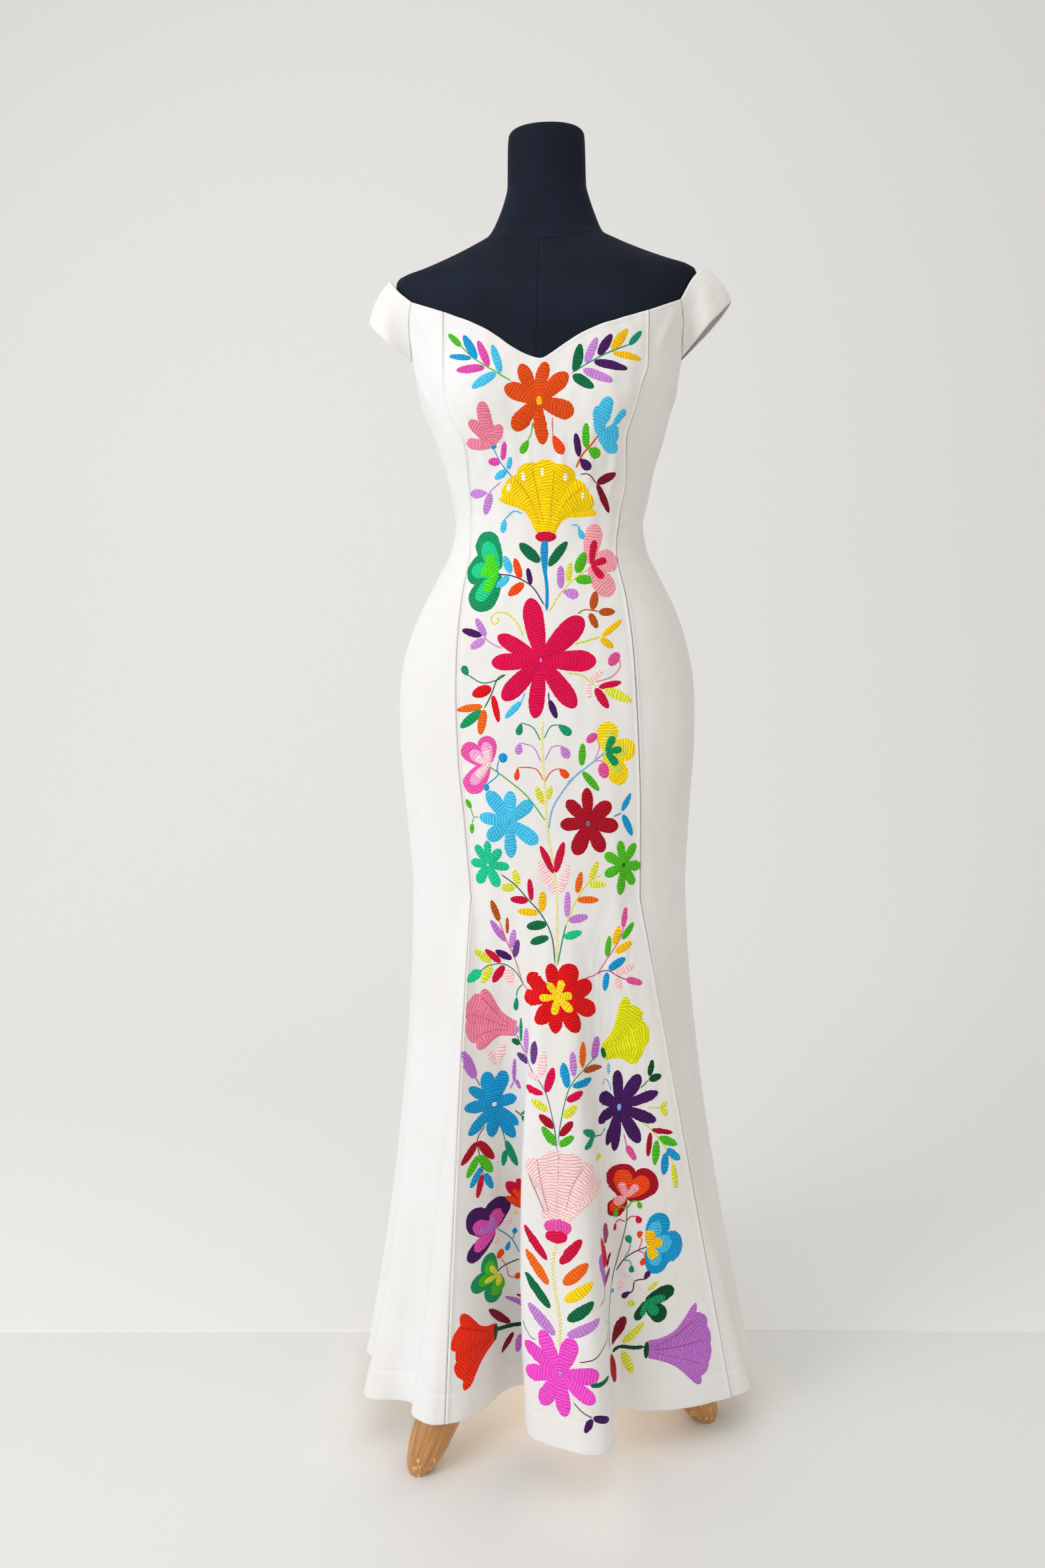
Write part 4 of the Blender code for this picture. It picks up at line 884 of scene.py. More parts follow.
# Points across a piece near its seams, and down it near its top edge and hem, in metres
SEAM_STEPS = (SEAM_GAP / 2.0, 0.0006, 0.0012, 0.0019, 0.0028, 0.0042)
TOP_STEPS = (0.0, 0.0006, 0.0014, 0.0030, 0.0055, 0.0062, 0.0070, 0.0100)
HEM_STEPS = (
    0.0, 0.0008, 0.0020, 0.0060, 0.0140, 0.0220, 0.0290, 0.0310, 0.0320, 0.0330, 0.0350, 0.0400,
)
LONG_ROWS = 190
COLUMN_SIZE = {
    "front_panel": 4, "side_front_left": 5, "back_left": 5, "back_right": 5, "side_front_right": 4,
}

# Embroidery: metres from row to row of a shape's points, faces across it, the panel's width, how
# wide a fan's foot is, how far a shape's edge sinks in, half a stem to each mm of its width, how
# uneven an edge's threads are, how much each petal lies over the one before, and the share of the
# panel along its seams that stays bare
ROW_LENGTH = 0.0013
ACROSS = 6
TYPICAL_WIDTH = 0.220
FAN_FOOT = 0.16
EDGE_SINK = 0.00025
STEM_HALF = 0.0006
THREAD_JAG = 0.0007
PETAL_STEP = 0.00007
PANEL_EDGE = 0.002
MM = 0.001

# The middle fold of the front leans out between knee and hem: share of the front panel's width
# where it leans most, how far in shares to each side, the height where it starts, and by how much
SWELL_PLACE = 0.405
SWELL_REACH = 0.115
SWELL_TOP = 0.575
SWELL = 0.0145

# The dress's levels: metres from one to the next and the highest, and places along each piece.
# A direction is measured between places and heights this far to both sides.
LEVEL_STEP = 0.0025
LEVEL_TOP = 1.450
PLACES = 96
PLACE_STEP = 0.004
HEIGHT_STEP = 0.002


def read_table(rows, value):
    """A table's row at a value of its first column, by a smooth curve that never overshoots."""
    table = np.array(rows, float)
    if table[0, 0] > table[-1, 0]:
        table = table[::-1]
    keys = table[:, 0]
    values = table[:, 1:]
    value = min(max(value, keys[0]), keys[-1])
    i = int(min(max(np.searchsorted(keys, value) - 1, 0), len(keys) - 2))
    slopes = np.diff(values, axis=0) / np.diff(keys)[:, None]

    def tangent(k):
        if k == 0 or k == len(keys) - 1:
            return slopes[min(k, len(slopes) - 1)]
        before, after = slopes[k - 1], slopes[k]
        same_way = before * after > 0
        total = np.where(same_way, before + after, 1.0)
        return np.where(same_way, 2.0 * before * after / total, 0.0)

    step = keys[i + 1] - keys[i]
    s = (value - keys[i]) / step
    start = (2 * s**3 - 3 * s**2 + 1) * values[i] + (s**3 - 2 * s**2 + s) * step * tangent(i)
    end = (3 * s**2 - 2 * s**3) * values[i + 1] + (s**3 - s**2) * step * tangent(i + 1)
    return start + end


@lru_cache(maxsize=None)
def ring(height):
    """The figure's level at one height: angles from the front, points, and shares of the way
    round, from the front toward +X."""
    minus_x, plus_x, front, back, squareness = read_table(FIGURE, height)
    angles = np.linspace(0.0, 2.0 * math.pi, RING_SAMPLES + 1)
    across = np.sin(angles)
    ahead = np.cos(angles)
    power = 2.0 / squareness
    x = np.where(across > 0, plus_x, minus_x) * np.sign(across) * np.abs(across) ** power
    y = -np.where(ahead > 0, front, back) * np.sign(ahead) * np.abs(ahead) ** power
    cup = np.exp(-(((np.abs(x) - CUP_X) / CUP_SPREAD_X) ** 2)) * np.clip(CUP_FADE * ahead, 0.0, 1.0)
    y = y - CUP_DEPTH * cup * math.exp(-(((height - CUP_HEIGHT) / CUP_SPREAD_Z) ** 2))
    lengths = np.hypot(np.diff(x), np.diff(y))
    shares = np.concatenate([[0.0], np.cumsum(lengths)]) / lengths.sum()
    return angles, x, y, shares


@lru_cache(maxsize=None)
def seam_shares(height):
    """How far round each piece's first seam lies, and once more the first of them."""
    angles, x, _, shares = ring(height)
    minus_x, plus_x = read_table(FRONT_SEAMS, height)
    quarter = RING_SAMPLES // 4
    plus_seam = np.interp(plus_x, x[: quarter + 1], shares[: quarter + 1])
    minus_seam = np.interp(minus_x, x[3 * quarter :], shares[3 * quarter :])
    left_side = np.interp(SIDE_SEAM_ANGLE, angles, shares)
    centre_back = np.interp(math.pi, angles, shares)
    right_side = np.interp(2.0 * math.pi - SIDE_SEAM_ANGLE, angles, shares)
    return (minus_seam - 1.0, plus_seam, left_side, centre_back, right_side, minus_seam)


def centripetal(before, start, end, after, s):
    """A point at share s of the way from start to end, on the curve through all four."""
    knots = [0.0]
    for a, b in ((before, start), (start, end), (end, after)):
        knots.append(knots[-1] + math.sqrt(np.linalg.norm(b[:2] - a[:2])))
    t0, t1, t2, t3 = knots
    t = t1 + s * (t2 - t1)
    a1 = ((t1 - t) * before + (t - t0) * start) / (t1 - t0)
    a2 = ((t2 - t) * start + (t - t1) * end) / (t2 - t1)
    a3 = ((t3 - t) * end + (t - t2) * after) / (t3 - t2)
    b1 = ((t2 - t) * a1 + (t - t0) * a2) / (t2 - t0)
    b2 = ((t3 - t) * a2 + (t - t1) * a3) / (t3 - t1)
    return ((t2 - t) * b1 + (t - t1) * b2) / (t2 - t1)


@lru_cache(maxsize=None)
def hem_curve():
    """The hem as places (piece number plus share of the piece) and rows of across, depth,
    height and grow."""
    turns = [np.array(turn) for name in PANELS for turn in HEM_TURNS[name]]
    starts = np.cumsum([0] + [len(HEM_TURNS[name]) for name in PANELS])
    points = []
    for i in range(len(turns)):
        around = [turns[(i + k) % len(turns)] for k in (-1, 0, 1, 2)]
        points += [centripetal(*around, s / TURN_SAMPLES) for s in range(TURN_SAMPLES)]
    points.append(turns[0])
    points = np.array(points)
    steps = np.hypot(np.diff(points[:, 0]), np.diff(points[:, 1]))
    lengths = np.concatenate([[0.0], np.cumsum(steps)])
    seam_lengths = lengths[starts * TURN_SAMPLES]
    places = np.interp(lengths, seam_lengths, np.arange(len(PANELS) + 1))
    return places, points


def hem_at(place):
    places, points = hem_curve()
    place = place % len(PANELS)
    return [np.interp(place, places, points[:, k]) for k in range(4)]


@lru_cache(maxsize=None)
def dress_levels():
    """Levels of the dress from the knee up, each sampled along the five pieces."""
    places = np.arange(len(PANELS) * PLACES + 1) / PLACES
    levels = []
    for height in np.arange(KNEE, LEVEL_TOP, LEVEL_STEP):
        _, x, y, shares = ring(height)
        at = np.interp(places, np.arange(len(PANELS) + 1), seam_shares(height)) % 1.0
        levels.append(np.stack([np.interp(at, shares, x), np.interp(at, shares, y)], axis=-1))
    return np.array(levels)


def bare_point(place, height):
    """The dress's outer surface as the solids have it, for arrays of places and heights."""
    levels = dress_levels()
    place, height = np.broadcast_arrays(np.asarray(place, float) % len(PANELS), height)
    column = place * PLACES
    row = np.clip((height - KNEE) / LEVEL_STEP, 0.0, len(levels) - 1.001)
    i = row.astype(int)
    j = np.minimum(column.astype(int), levels.shape[1] - 2)
    u = (row - i)[..., None]
    v = (column - j)[..., None]
    low = levels[i, j] * (1.0 - v) + levels[i, j + 1] * v
    high = levels[i + 1, j] * (1.0 - v) + levels[i + 1, j + 1] * v
    point = low * (1.0 - u) + high * u
    across, depth, hem_height, grow = hem_at(place)
    share = np.maximum(KNEE - height, 0.0) / (KNEE - hem_height)
    out = np.where(share > 0.0, np.maximum(share, 1e-9) ** grow, 0.0)[..., None]
    point = point + out * (np.stack([across, depth], axis=-1) - point)
    beside = np.minimum(np.abs(place - SWELL_PLACE) / SWELL_REACH, 1.0)
    down = np.clip((SWELL_TOP - height) / (SWELL_TOP - hem_height), 0.0, 1.0)
    leans = np.maximum(np.sin(math.pi * down), 0.0) ** 0.8
    point[..., 0] -= SWELL * np.cos(0.5 * math.pi * beside) ** 2 * leans
    return np.concatenate([point, height[..., None]], axis=-1)


def unit(vectors):
    return vectors / np.linalg.norm(vectors, axis=-1, keepdims=True)


def dot(first, second):
    return (first * second).sum(axis=-1)


def mound(distance, half):
    return np.exp(-((distance / half) ** 2))


def wave(turns, shift=0.0):
    return np.sin(2.0 * math.pi * turns + shift)


def bare_frame(place, height):
    """Point, outward direction, and metres of cloth to one piece's width, on the bare surface."""
    along = bare_point(place + PLACE_STEP, height) - bare_point(place - PLACE_STEP, height)
    up = bare_point(place, height + HEIGHT_STEP) - bare_point(place, height - HEIGHT_STEP)
    breadth = np.linalg.norm(along, axis=-1) / (2.0 * PLACE_STEP)
    return bare_point(place, height), unit(np.cross(along, up)), breadth


def relief(place, height, breadth):
    """How far the sewn cloth stands off the bare surface: creases, seams and the hem's turn-up."""
    rise = np.zeros_like(breadth)
    pieces = len(PANELS)
    for place_0, height_0, place_1, height_1, half, size in CREASES:
        along = np.array((place_1 - place_0) * breadth)
        down = height_1 - height_0
        u = ((place - place_0 + pieces / 2.0) % pieces - pieces / 2.0) * breadth
        v = height - height_0
        length = np.maximum(np.hypot(along, down), 1e-6)
        t = (u * along + v * down) / length**2
        off = (u * down - v * along) / length / (half * MM)
        fade = np.sin(math.pi * np.clip(t, 0.0, 1.0)) ** 1.5
        rise += size * MM * fade * (mound(off, 1.0) - 0.25 * mound(np.abs(off) - 2.0, 1.0))
    share = place % 1.0
    edge = np.minimum(share, 1.0 - share) * breadth
    front = np.floor(place) % pieces == 0
    rise -= SEAM_GROOVE * mound(edge, SEAM_GROOVE_HALF)
    rise += np.where(front, FRONT_RIDGE, OTHER_RIDGE) * mound(edge - RIDGE_PLACE, RIDGE_HALF)
    run = share * breadth
    wander = wave(run / RIPPLE_ACROSS, 1.7 * wave(height / RIPPLE_DRIFT))
    wander = wander * wave(height / RIPPLE_UP, 1.3 * wave(run / RIPPLE_DRIFT))
    strength = np.where(height > BODICE_BOTTOM, 1.0, 0.6) * np.where(front, RIPPLE, 0.5 * RIPPLE)
    rise += strength * wander * np.clip(edge / RIPPLE_EDGE, 0.0, 1.0)
    above = height - hem_at(place % pieces)[2]
    rise += HEM_STEP * np.clip((HEM_TURN_UP + 0.001 - above) / 0.002, 0.0, 1.0)
    rise -= HEM_GROOVE * mound(above - HEM_TURN_UP, HEM_GROOVE_HALF)
    return np.maximum(rise, DEEPEST)


def dress_point(place, height):
    """The outer surface of the sewn cloth, for arrays of places and heights."""
    point, out, breadth = bare_frame(place, height)
    return point + relief(place, height, breadth)[..., None] * out


def dress_frame(place, height):
    """Point, outward direction and the two tangents to place and height, with the relief."""
    along = dress_point(place + PLACE_STEP, height) - dress_point(place - PLACE_STEP, height)
    up = dress_point(place, height + HEIGHT_STEP) - dress_point(place, height - HEIGHT_STEP)
    out = unit(np.cross(along, up))
    return dress_point(place, height), out, along / (2.0 * PLACE_STEP), up / (2.0 * HEIGHT_STEP)


def top_heights(name, share, x):
    """The height of a piece's top edge, at shares of its width."""
    if name == "front_panel":
        return np.array([read_table(NECKLINE, value)[0] for value in x])
    rows = SIDE_FRONT_TOP if name.startswith("side") else BACK_TOP
    turned = name in ("back_right", "side_front_right")
    shares, heights = zip(*rows)
    return np.interp(1.0 - share if turned else share, shares, heights)


def panel_shares(name, width):
    """The columns' shares of a piece's width: fine steps at both seams, even steps between."""
    near = np.array(SEAM_STEPS) / width
    stops, counts = COLUMNS[name]
    stops = [near[-1], *stops[1:-1], 1.0 - near[-1]]
    inner = [
        np.linspace(start, end, count * COLUMN_SIZE[name] + 1)[1:]
        for start, end, count in zip(stops, stops[1:], counts)
    ]
    return np.concatenate([near, *inner, 1.0 - near[-2::-1]])


def piece_width(number, height):
    samples = bare_point(number + np.linspace(0.0005, 0.9995, 200), height)
    return np.linalg.norm(np.diff(samples, axis=0), axis=-1).sum()


def panel_grid(number, name):
    """Places and heights of one piece's points, as columns across by rows up, and the height of
    each column's hem and top."""
    low = number + panel_shares(name, piece_width(number, ROW_BOTTOM))
    high = number + panel_shares(name, piece_width(number, ROW_TOP))
    top = top_heights(name, high - number, bare_point(high, ROW_TOP)[:, 0])
    hem = hem_at(low)[2]
    widths = [piece_width(number, height) for height in WIDTH_LEVELS]
    heights = []
    for start, end in zip(hem, top):
        near_hem = start + np.array(HEM_STEPS)
        near_top = end - np.array(TOP_STEPS[::-1])
        between = np.linspace(near_hem[-1], near_top[0], LONG_ROWS + 1)[1:-1]
        heights.append(np.concatenate([near_hem, between, near_top]))
    heights = np.array(heights)
    places = [
        number + panel_shares(name, np.interp(height, WIDTH_LEVELS, widths))
        for height in heights.mean(axis=0)
    ]
    return np.array(places).T, heights, hem, top


def grid_step(value, steps):
    """Which step a point of a create_grid sheet is at, from its coordinate of -1 to 1."""
    return round((value + 1.0) / 2.0 * steps)


def grid_sheet(points, uvs):
    """A create_grid sheet laid on points given as columns by rows, with its own UV map."""
    columns, rows = points.shape[0] - 1, points.shape[1] - 1
    mesh = bmesh.new()
    bmesh.ops.create_grid(mesh, x_segments=columns, y_segments=rows, size=1.0)
    uv_layer = mesh.loops.layers.uv.new("cloth")
    place_of = {}
    for vert in mesh.verts:
        place_of[vert] = (grid_step(vert.co.x, columns), grid_step(vert.co.y, rows))
        vert.co = points[place_of[vert]]
    for face in mesh.faces:
        for loop in face.loops:
            loop[uv_layer].uv = uvs[place_of[loop.vert]]
    return mesh


def finish(name, mesh, material, sharp=None):
    """Turns a bmesh into a piece that rides on the one body, with its place in its mesh."""
    data = bpy.data.meshes.new(name)
    mesh.to_mesh(data)
    mesh.free()
    data.shade_smooth()
    if sharp is not None:
        data.set_sharp_from_angle(angle=math.radians(sharp))
    data.materials.append(material)
    made = bpy.data.objects.new(name, data)
    bpy.context.scene.collection.objects.link(made)
    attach(made, "root")
    return made


def thicken(piece, thickness):
    wall = piece.modifiers.new("cloth wall", "SOLIDIFY")
    wall.thickness = thickness
    wall.offset = -1.0
    wall.use_even_offset = False


# Sleeves


def armhole_point(side, end, down):
    """The place and height on the bodice at share down of an armhole, from its upper corner."""
    if end == "front":
        share = FRONT_CORNER + (FRONT_ARMPIT - FRONT_CORNER) * down
        name = "side_front_" + side
    else:
        share = BACK_CORNER + (BACK_ARMPIT - BACK_CORNER) * down
        name = "back_" + side
    if side == "right":
        share = 1.0 - share
    height = top_heights(name, np.array([share]), [0.0])[0]
    return PANELS.index(name) + share, height


@lru_cache(maxsize=None)
def sleeve_end(side, end, down):
    """Where the sleeve meets the armhole: just clear of the bodice's edge, in its own plane."""
    place, height = armhole_point(side, end, down)
    above = bare_point(*armhole_point(side, end, max(down - ARMHOLE_STEP, 0.0)))
    below = bare_point(*armhole_point(side, end, min(down + ARMHOLE_STEP, 1.0)))
    point, out, _ = bare_frame(np.array([place]), np.array([height]))
    away = np.cross(out[0], unit(below - above))
    if away[2] < 0:
        away = -away
    return point[0] + ARMHOLE_GAP * away


def sleeve_point(side, share, down):
    """The sleeve's outer surface: share runs from the front armhole over the shoulder to the
    back one, and down runs from the neckline edge to the cuff."""
    stations = [(0.0, *sleeve_end(side, "front", down))]
    out = np.array([1.0 if side == "left" else -1.0, 0.0, 1.0])
    bulge = SLEEVE_BULGE * 4.0 * down * (1.0 - down) * out
    for at, top, cuff in SLEEVE_LINES[side]:
        point = np.array(top) + (np.array(cuff) - np.array(top)) * down
        stations.append((at, *(point + bulge)))
    stations.append((1.0, *sleeve_end(side, "back", down)))
    return read_table(stations, share)


# Embroidery


def round_end(off):
    return np.sqrt(np.clip(1.0 - off**2, 0.0, 1.0))


def petal_width(kind, t):
    """A motif's width at share t of its length, as a share of its greatest width."""
    if kind == "leaf":
        return np.sin(math.pi * t**0.92) ** 0.44
    if kind == "oval":
        return round_end(2.0 * t - 1.0)
    if kind == "wing":
        return (0.36 + 0.50 * t) * round_end(np.maximum(t - 0.64, 0.0) / 0.36)
    base, widest = {"petal": (0.40, 0.68), "drop": (0.10, 0.64), "fan": (0.34, 0.88)}[kind]
    body = base + (1.0 - base) * np.sin(0.5 * math.pi * np.clip(t / widest, 0.0, 1.0))
    if kind == "fan":
        body = base + (1.0 - base) * np.clip(t / widest, 0.0, 1.0)
    tip = round_end(np.maximum(t - widest, 0.0) / (1.0 - widest))
    start = round_end(1.0 - np.minimum(t / 0.08, 1.0))
    return body * tip * start


def curve_through(points, count):
    """Evenly shared points on a smooth curve through a few."""
    rows = [2.0 * points[0] - points[1], *points, 2.0 * points[-1] - points[-2]]
    made = []
    for k in range(count):
        at = k / (count - 1) * (len(points) - 1)
        i = min(int(at), len(points) - 2)
        s = at - i
        a, b, c, d = rows[i : i + 4]
        made.append(
            0.5 * (2.0 * b + (c - a) * s + (2.0 * a - 5.0 * b + 4.0 * c - d) * s**2)
            + 0.5 * (3.0 * b - a - 3.0 * c + d) * s**3
        )
    return np.array(made)


def stitch(mesh, layers, shapes):
    """Lays stitched shapes on the front panel. Each is a domed patch along a line of (place,
    height) points, half as wide to each side as half says, with threads that run across it."""
    counts = [len(shape[0]) for shape in shapes]
    starts = np.concatenate([[0], np.cumsum(counts)])
    spans = list(zip(starts, starts[1:]))
    lines = np.concatenate([shape[0] for shape in shapes])
    half = np.concatenate([shape[1] for shape in shapes])
    lift = np.repeat([shape[2] for shape in shapes], counts)
    point, out, along, up = dress_frame(lines[:, 0], lines[:, 1])
    axis = np.concatenate([unit(np.gradient(point[a:b], axis=0)) for a, b in spans])
    side = unit(np.cross(out, axis))
    aa, au, uu = dot(along, along), dot(along, up), dot(up, up)
    sa, su = dot(side, along), dot(side, up)
    turn = np.stack([sa * uu - su * au, su * aa - sa * au], axis=-1) / (aa * uu - au**2)[:, None]
    steps = np.linspace(-1.0, 1.0, ACROSS + 1)
    offset = (half[:, None] * steps)[..., None] * turn[:, None]
    place = np.clip(lines[:, None, 0] + offset[..., 0], PANEL_EDGE, 1.0 - PANEL_EDGE)
    laid, face_out, _, _ = dress_frame(place, lines[:, None, 1] + offset[..., 1])
    length = np.zeros(len(lines))
    rounding = np.zeros(len(lines))
    for a, b in spans:
        length[a + 1 : b] = np.cumsum(np.linalg.norm(np.diff(point[a:b], axis=0), axis=-1))
        near_end = np.minimum(length[a:b], length[b - 1] - length[a:b])
        rounding[a:b] = np.sin(0.5 * math.pi * np.clip(near_end / half[a:b].max(), 0.0, 1.0))
    dome = np.sqrt(1.0 - np.abs(steps) ** 2.6) * np.sqrt(0.25 + 0.75 * rounding)[:, None]
    rows = laid + (lift[:, None] * dome - EDGE_SINK)[..., None] * face_out
    colour_layer, uv_layer = layers
    for (a, b), (_, _, _, colour, slant) in zip(spans, shapes):
        last = b - a - 1
        grid = bmesh.ops.create_grid(mesh, x_segments=last, y_segments=ACROSS, size=1.0)
        for vert in grid["verts"]:
            k = a + grid_step(vert.co.x, last)
            j = grid_step(vert.co.y, ACROSS)
            spread = steps[j] * half[k]
            vert.co = rows[k, j]
            vert[colour_layer] = colour
            for loop in vert.link_loops:
                loop[uv_layer].uv = (length[k] + slant * spread, spread)


def scatter(number):
    """A number from 0 to 1 that looks random but is the same in each run."""
    return np.modf(np.abs(np.sin(12.9898 * (number + 1.0)) * 43758.5453))[0]


def tint(colour, number):
    """The same thread in a slightly different dye lot, by the motif's number."""
    change = 1.0 + 0.12 * (scatter(number) - 0.5)
    return tuple(min(channel * change, 1.0) for channel in linear(colour)) + (1.0,)


def motif_shapes(number, row, thickness):
    """The shapes of one motif: a line of points, half widths, height, colour and slant each."""
    kind, thread, layer, *numbers = row
    lift = thickness * (1.0 + 0.6 * layer) if layer >= 0 else 0.7 * thickness
    if kind == "stem":
        points = np.array(numbers[1:], float).reshape(-1, 2) * MM
        line = curve_through(points, 6 * (len(points) - 1) + 1)
        half = np.full(len(line), numbers[0] * STEM_HALF)
        half[[0, -1]] *= 0.4
        return [(line, half, lift, tint(THREADS[thread], number), 0.9)]
    if kind in ("petal", "fan"):
        base = np.array(numbers[:2], float) * MM
        ends = np.array(numbers[2:], float).reshape(-1, 3)
    else:
        base = np.array(numbers[1:3], float) * MM
        ends = np.array([[numbers[3], numbers[4], numbers[0]]], float)
    axis = ends[:, :2].mean(axis=0) * MM - base
    mouth = (ends[1, :2] - ends[0, :2]) * MM if kind == "fan" else axis
    to_metres = np.array([TYPICAL_WIDTH, 1.0])
    shapes = []
    for k, (place, height, width) in enumerate(ends):
        tip = np.array([place, height]) * MM
        root, bend, shape = base, 0.5 * (base + tip), kind
        if kind == "fan":
            beside = (tip - ends[0, :2] * MM) * to_metres
            at = dot(beside, mouth * to_metres) / dot(mouth * to_metres, mouth * to_metres)
            root = base + FAN_FOOT * (at - 0.5) * mouth
            bend = root + 0.62 * axis
            shape = "wing" if k < 2 else kind
        size = math.hypot((tip[0] - root[0]) * TYPICAL_WIDTH, tip[1] - root[1])
        count = int(min(max(size / ROW_LENGTH, 9), 44))
        even = np.arange(count + 1) / count
        share = 0.5 * even + 0.25 * (1.0 - np.cos(math.pi * even))
        t = share[:, None]
        line = (1.0 - t) ** 2 * root + 2.0 * t * (1.0 - t) * bend + t**2 * tip
        jag = THREAD_JAG * (scatter(np.arange(count + 1) + 97.0 * number + 13.0 * k) - 0.5)
        profile = petal_width(shape, share)
        half = np.maximum(profile * width * 0.5 * MM + jag * np.sqrt(profile), 0.05 * MM)
        colour = tint(THREADS[thread], number + 0.37 * k)
        shapes.append((line, half, lift + PETAL_STEP * k, colour, 0.18 * (-1) ** k))
    return shapes


# Stand and form


def loft(sections):
    """A face on the first section, extruded from section to section: one closed solid."""
    mesh = bmesh.new()
    corner_of = mesh.verts.layers.int.new("corner")
    row_of = mesh.verts.layers.int.new("row")
    cap = mesh.faces.new([mesh.verts.new(point) for point in sections[0]])
    for corner, vert in enumerate(cap.verts):
        vert[corner_of] = corner
    for number, section in enumerate(sections[1:], 1):
        extruded = bmesh.ops.extrude_face_region(mesh, geom=[cap])
        if number > 1:
            bmesh.ops.delete(mesh, geom=[cap], context="FACES_ONLY")
        for item in extruded["geom"]:
            if isinstance(item, bmesh.types.BMVert):
                item.co = section[item[corner_of]]
                item[row_of] = number
            elif isinstance(item, bmesh.types.BMFace):
                cap = item
    bmesh.ops.recalc_face_normals(mesh, faces=mesh.faces[:])
    return mesh, corner_of, row_of


def form_section(height, inset):
    """One level of the dress form: the figure, moved straight in by the inset."""
    shares = np.arange(FORM_CORNERS) / FORM_CORNERS
    _, x, y, around = ring(height)

    def at(share):
        share = share % 1.0
        return np.stack([np.interp(share, around, x), np.interp(share, around, y)], axis=-1)

    along = unit(at(shares + 0.002) - at(shares - 0.002))
    points = at(shares) - inset * np.stack([along[:, 1], -along[:, 0]], axis=-1)
    tilt = SHOULDER_TILT * min(max((height - TILT_FROM) / (TILT_BY - TILT_FROM), 0.0), 1.0)
    levels = height + tilt * points[:, 0]
    return [Vector((*point, level)) for point, level in zip(points, levels)]


def direction(degrees):
    """Straight out from the pole, at an angle from the front toward +X."""
    angle = math.radians(degrees)
    return Vector((math.sin(angle), -math.cos(angle), 0.0))


def leg_sections(degrees):
    """A leg's sections from the hub to the floor, as corners round an ellipse each."""
    out = direction(degrees)
    side = Vector((-out.y, out.x, 0.0))
    up = Vector((0.0, 0.0, 1.0))
    keyed = [(i, *row) for i, row in enumerate(LEG_SECTIONS)]
    sections = []
    for k in range(LEG_ROWS):
        at = k / (LEG_ROWS - 1) * (len(LEG_SECTIONS) - 1)
        reach, height, half_wide, half_tall, tilt = read_table(keyed, at)
        turn = math.radians(tilt)
        tall = up * math.cos(turn) + out * math.sin(turn)
        centre = out * reach + up * height
        section = []
        for corner in range(LEG_CORNERS):
            angle = 2.0 * math.pi * corner / LEG_CORNERS
            place = side * half_wide * math.cos(angle) + tall * half_tall * math.sin(angle)
            section.append(centre + place)
        sections.append(section)
    return sections


# Materials


def linear(hex_colour):
    """An sRGB hex colour as linear red, green and blue."""
    channels = [int(hex_colour[i : i + 2], 16) / 255.0 for i in (1, 3, 5)]
    return tuple(c / 12.92 if c <= 0.04045 else ((c + 0.055) / 1.055) ** 2.4 for c in channels)


def rgba(hex_colour):
    return (*linear(hex_colour), 1.0)


def feed(tree, node, inputs):
    """Gives a node's inputs their values, or links from other nodes' outputs."""
    for socket, value in inputs.items():
        if isinstance(value, bpy.types.NodeSocket):
            tree.links.new(value, node.inputs[socket])
        else:
            node.inputs[socket].default_value = value


def add(tree, kind, inputs=None, stops=(), **settings):
    """A new node with its settings, its inputs, and the stops of a colour ramp."""
    made = tree.nodes.new("ShaderNode" + kind)
    for name, value in settings.items():
        setattr(made, name, value)
    feed(tree, made, inputs or {})
    if stops:
        elements = made.color_ramp.elements
        while len(elements) < len(stops):
            elements.new(0.5)
        for element, (place, colour) in zip(elements, stops):
            element.position = place
            element.color = rgba(colour)
    return made


def new_material(name):
    material = bpy.data.materials.new(name)
    material.use_nodes = True
    tree = material.node_tree
    return material, tree, tree.nodes["Principled BSDF"]


def crepe_material(name, colour, shade):
    """Ivory moss crepe: a matt, pebbled weave. The pebble is 0.6 mm in the cloth and drawn at
    about 1.2 mm so that it shows."""
    material, tree, shader = new_material(name)
    place = add(tree, "TexCoord").outputs["Object"]
    pebble = add(tree, "TexNoise", {"Vector": place, "Scale": 820.0, "Roughness": 0.6})
    twist = add(tree, "TexNoise", {"Vector": place, "Scale": 9.0, "Detail": 3.0})
    tone = add(tree, "ValToRGB", {"Fac": twist.outputs["Fac"]}, ((0.35, shade), (0.65, colour)))
    squash = add(tree, "Mapping", {"Vector": place, "Scale": (70.0, 70.0, 26.0)})
    pucker = add(tree, "TexNoise", {"Vector": squash.outputs["Vector"], "Scale": 1.0})
    soft = add(tree, "Bump", {"Height": pucker.outputs["Fac"], "Strength": 0.35, "Distance": 0.0015})
    fine = add(tree, "Bump", {
        "Height": pebble.outputs["Fac"],
        "Normal": soft.outputs["Normal"],
        "Strength": 0.25,
        "Distance": 0.0003,
    })
    feed(tree, shader, {
        "Base Color": tone.outputs["Color"],
        "Roughness": 0.82,
        "Specular IOR Level": 0.25,
        "Sheen Weight": 0.12,
        "Sheen Roughness": 0.4,
        "Normal": fine.outputs["Normal"],
    })
    return material


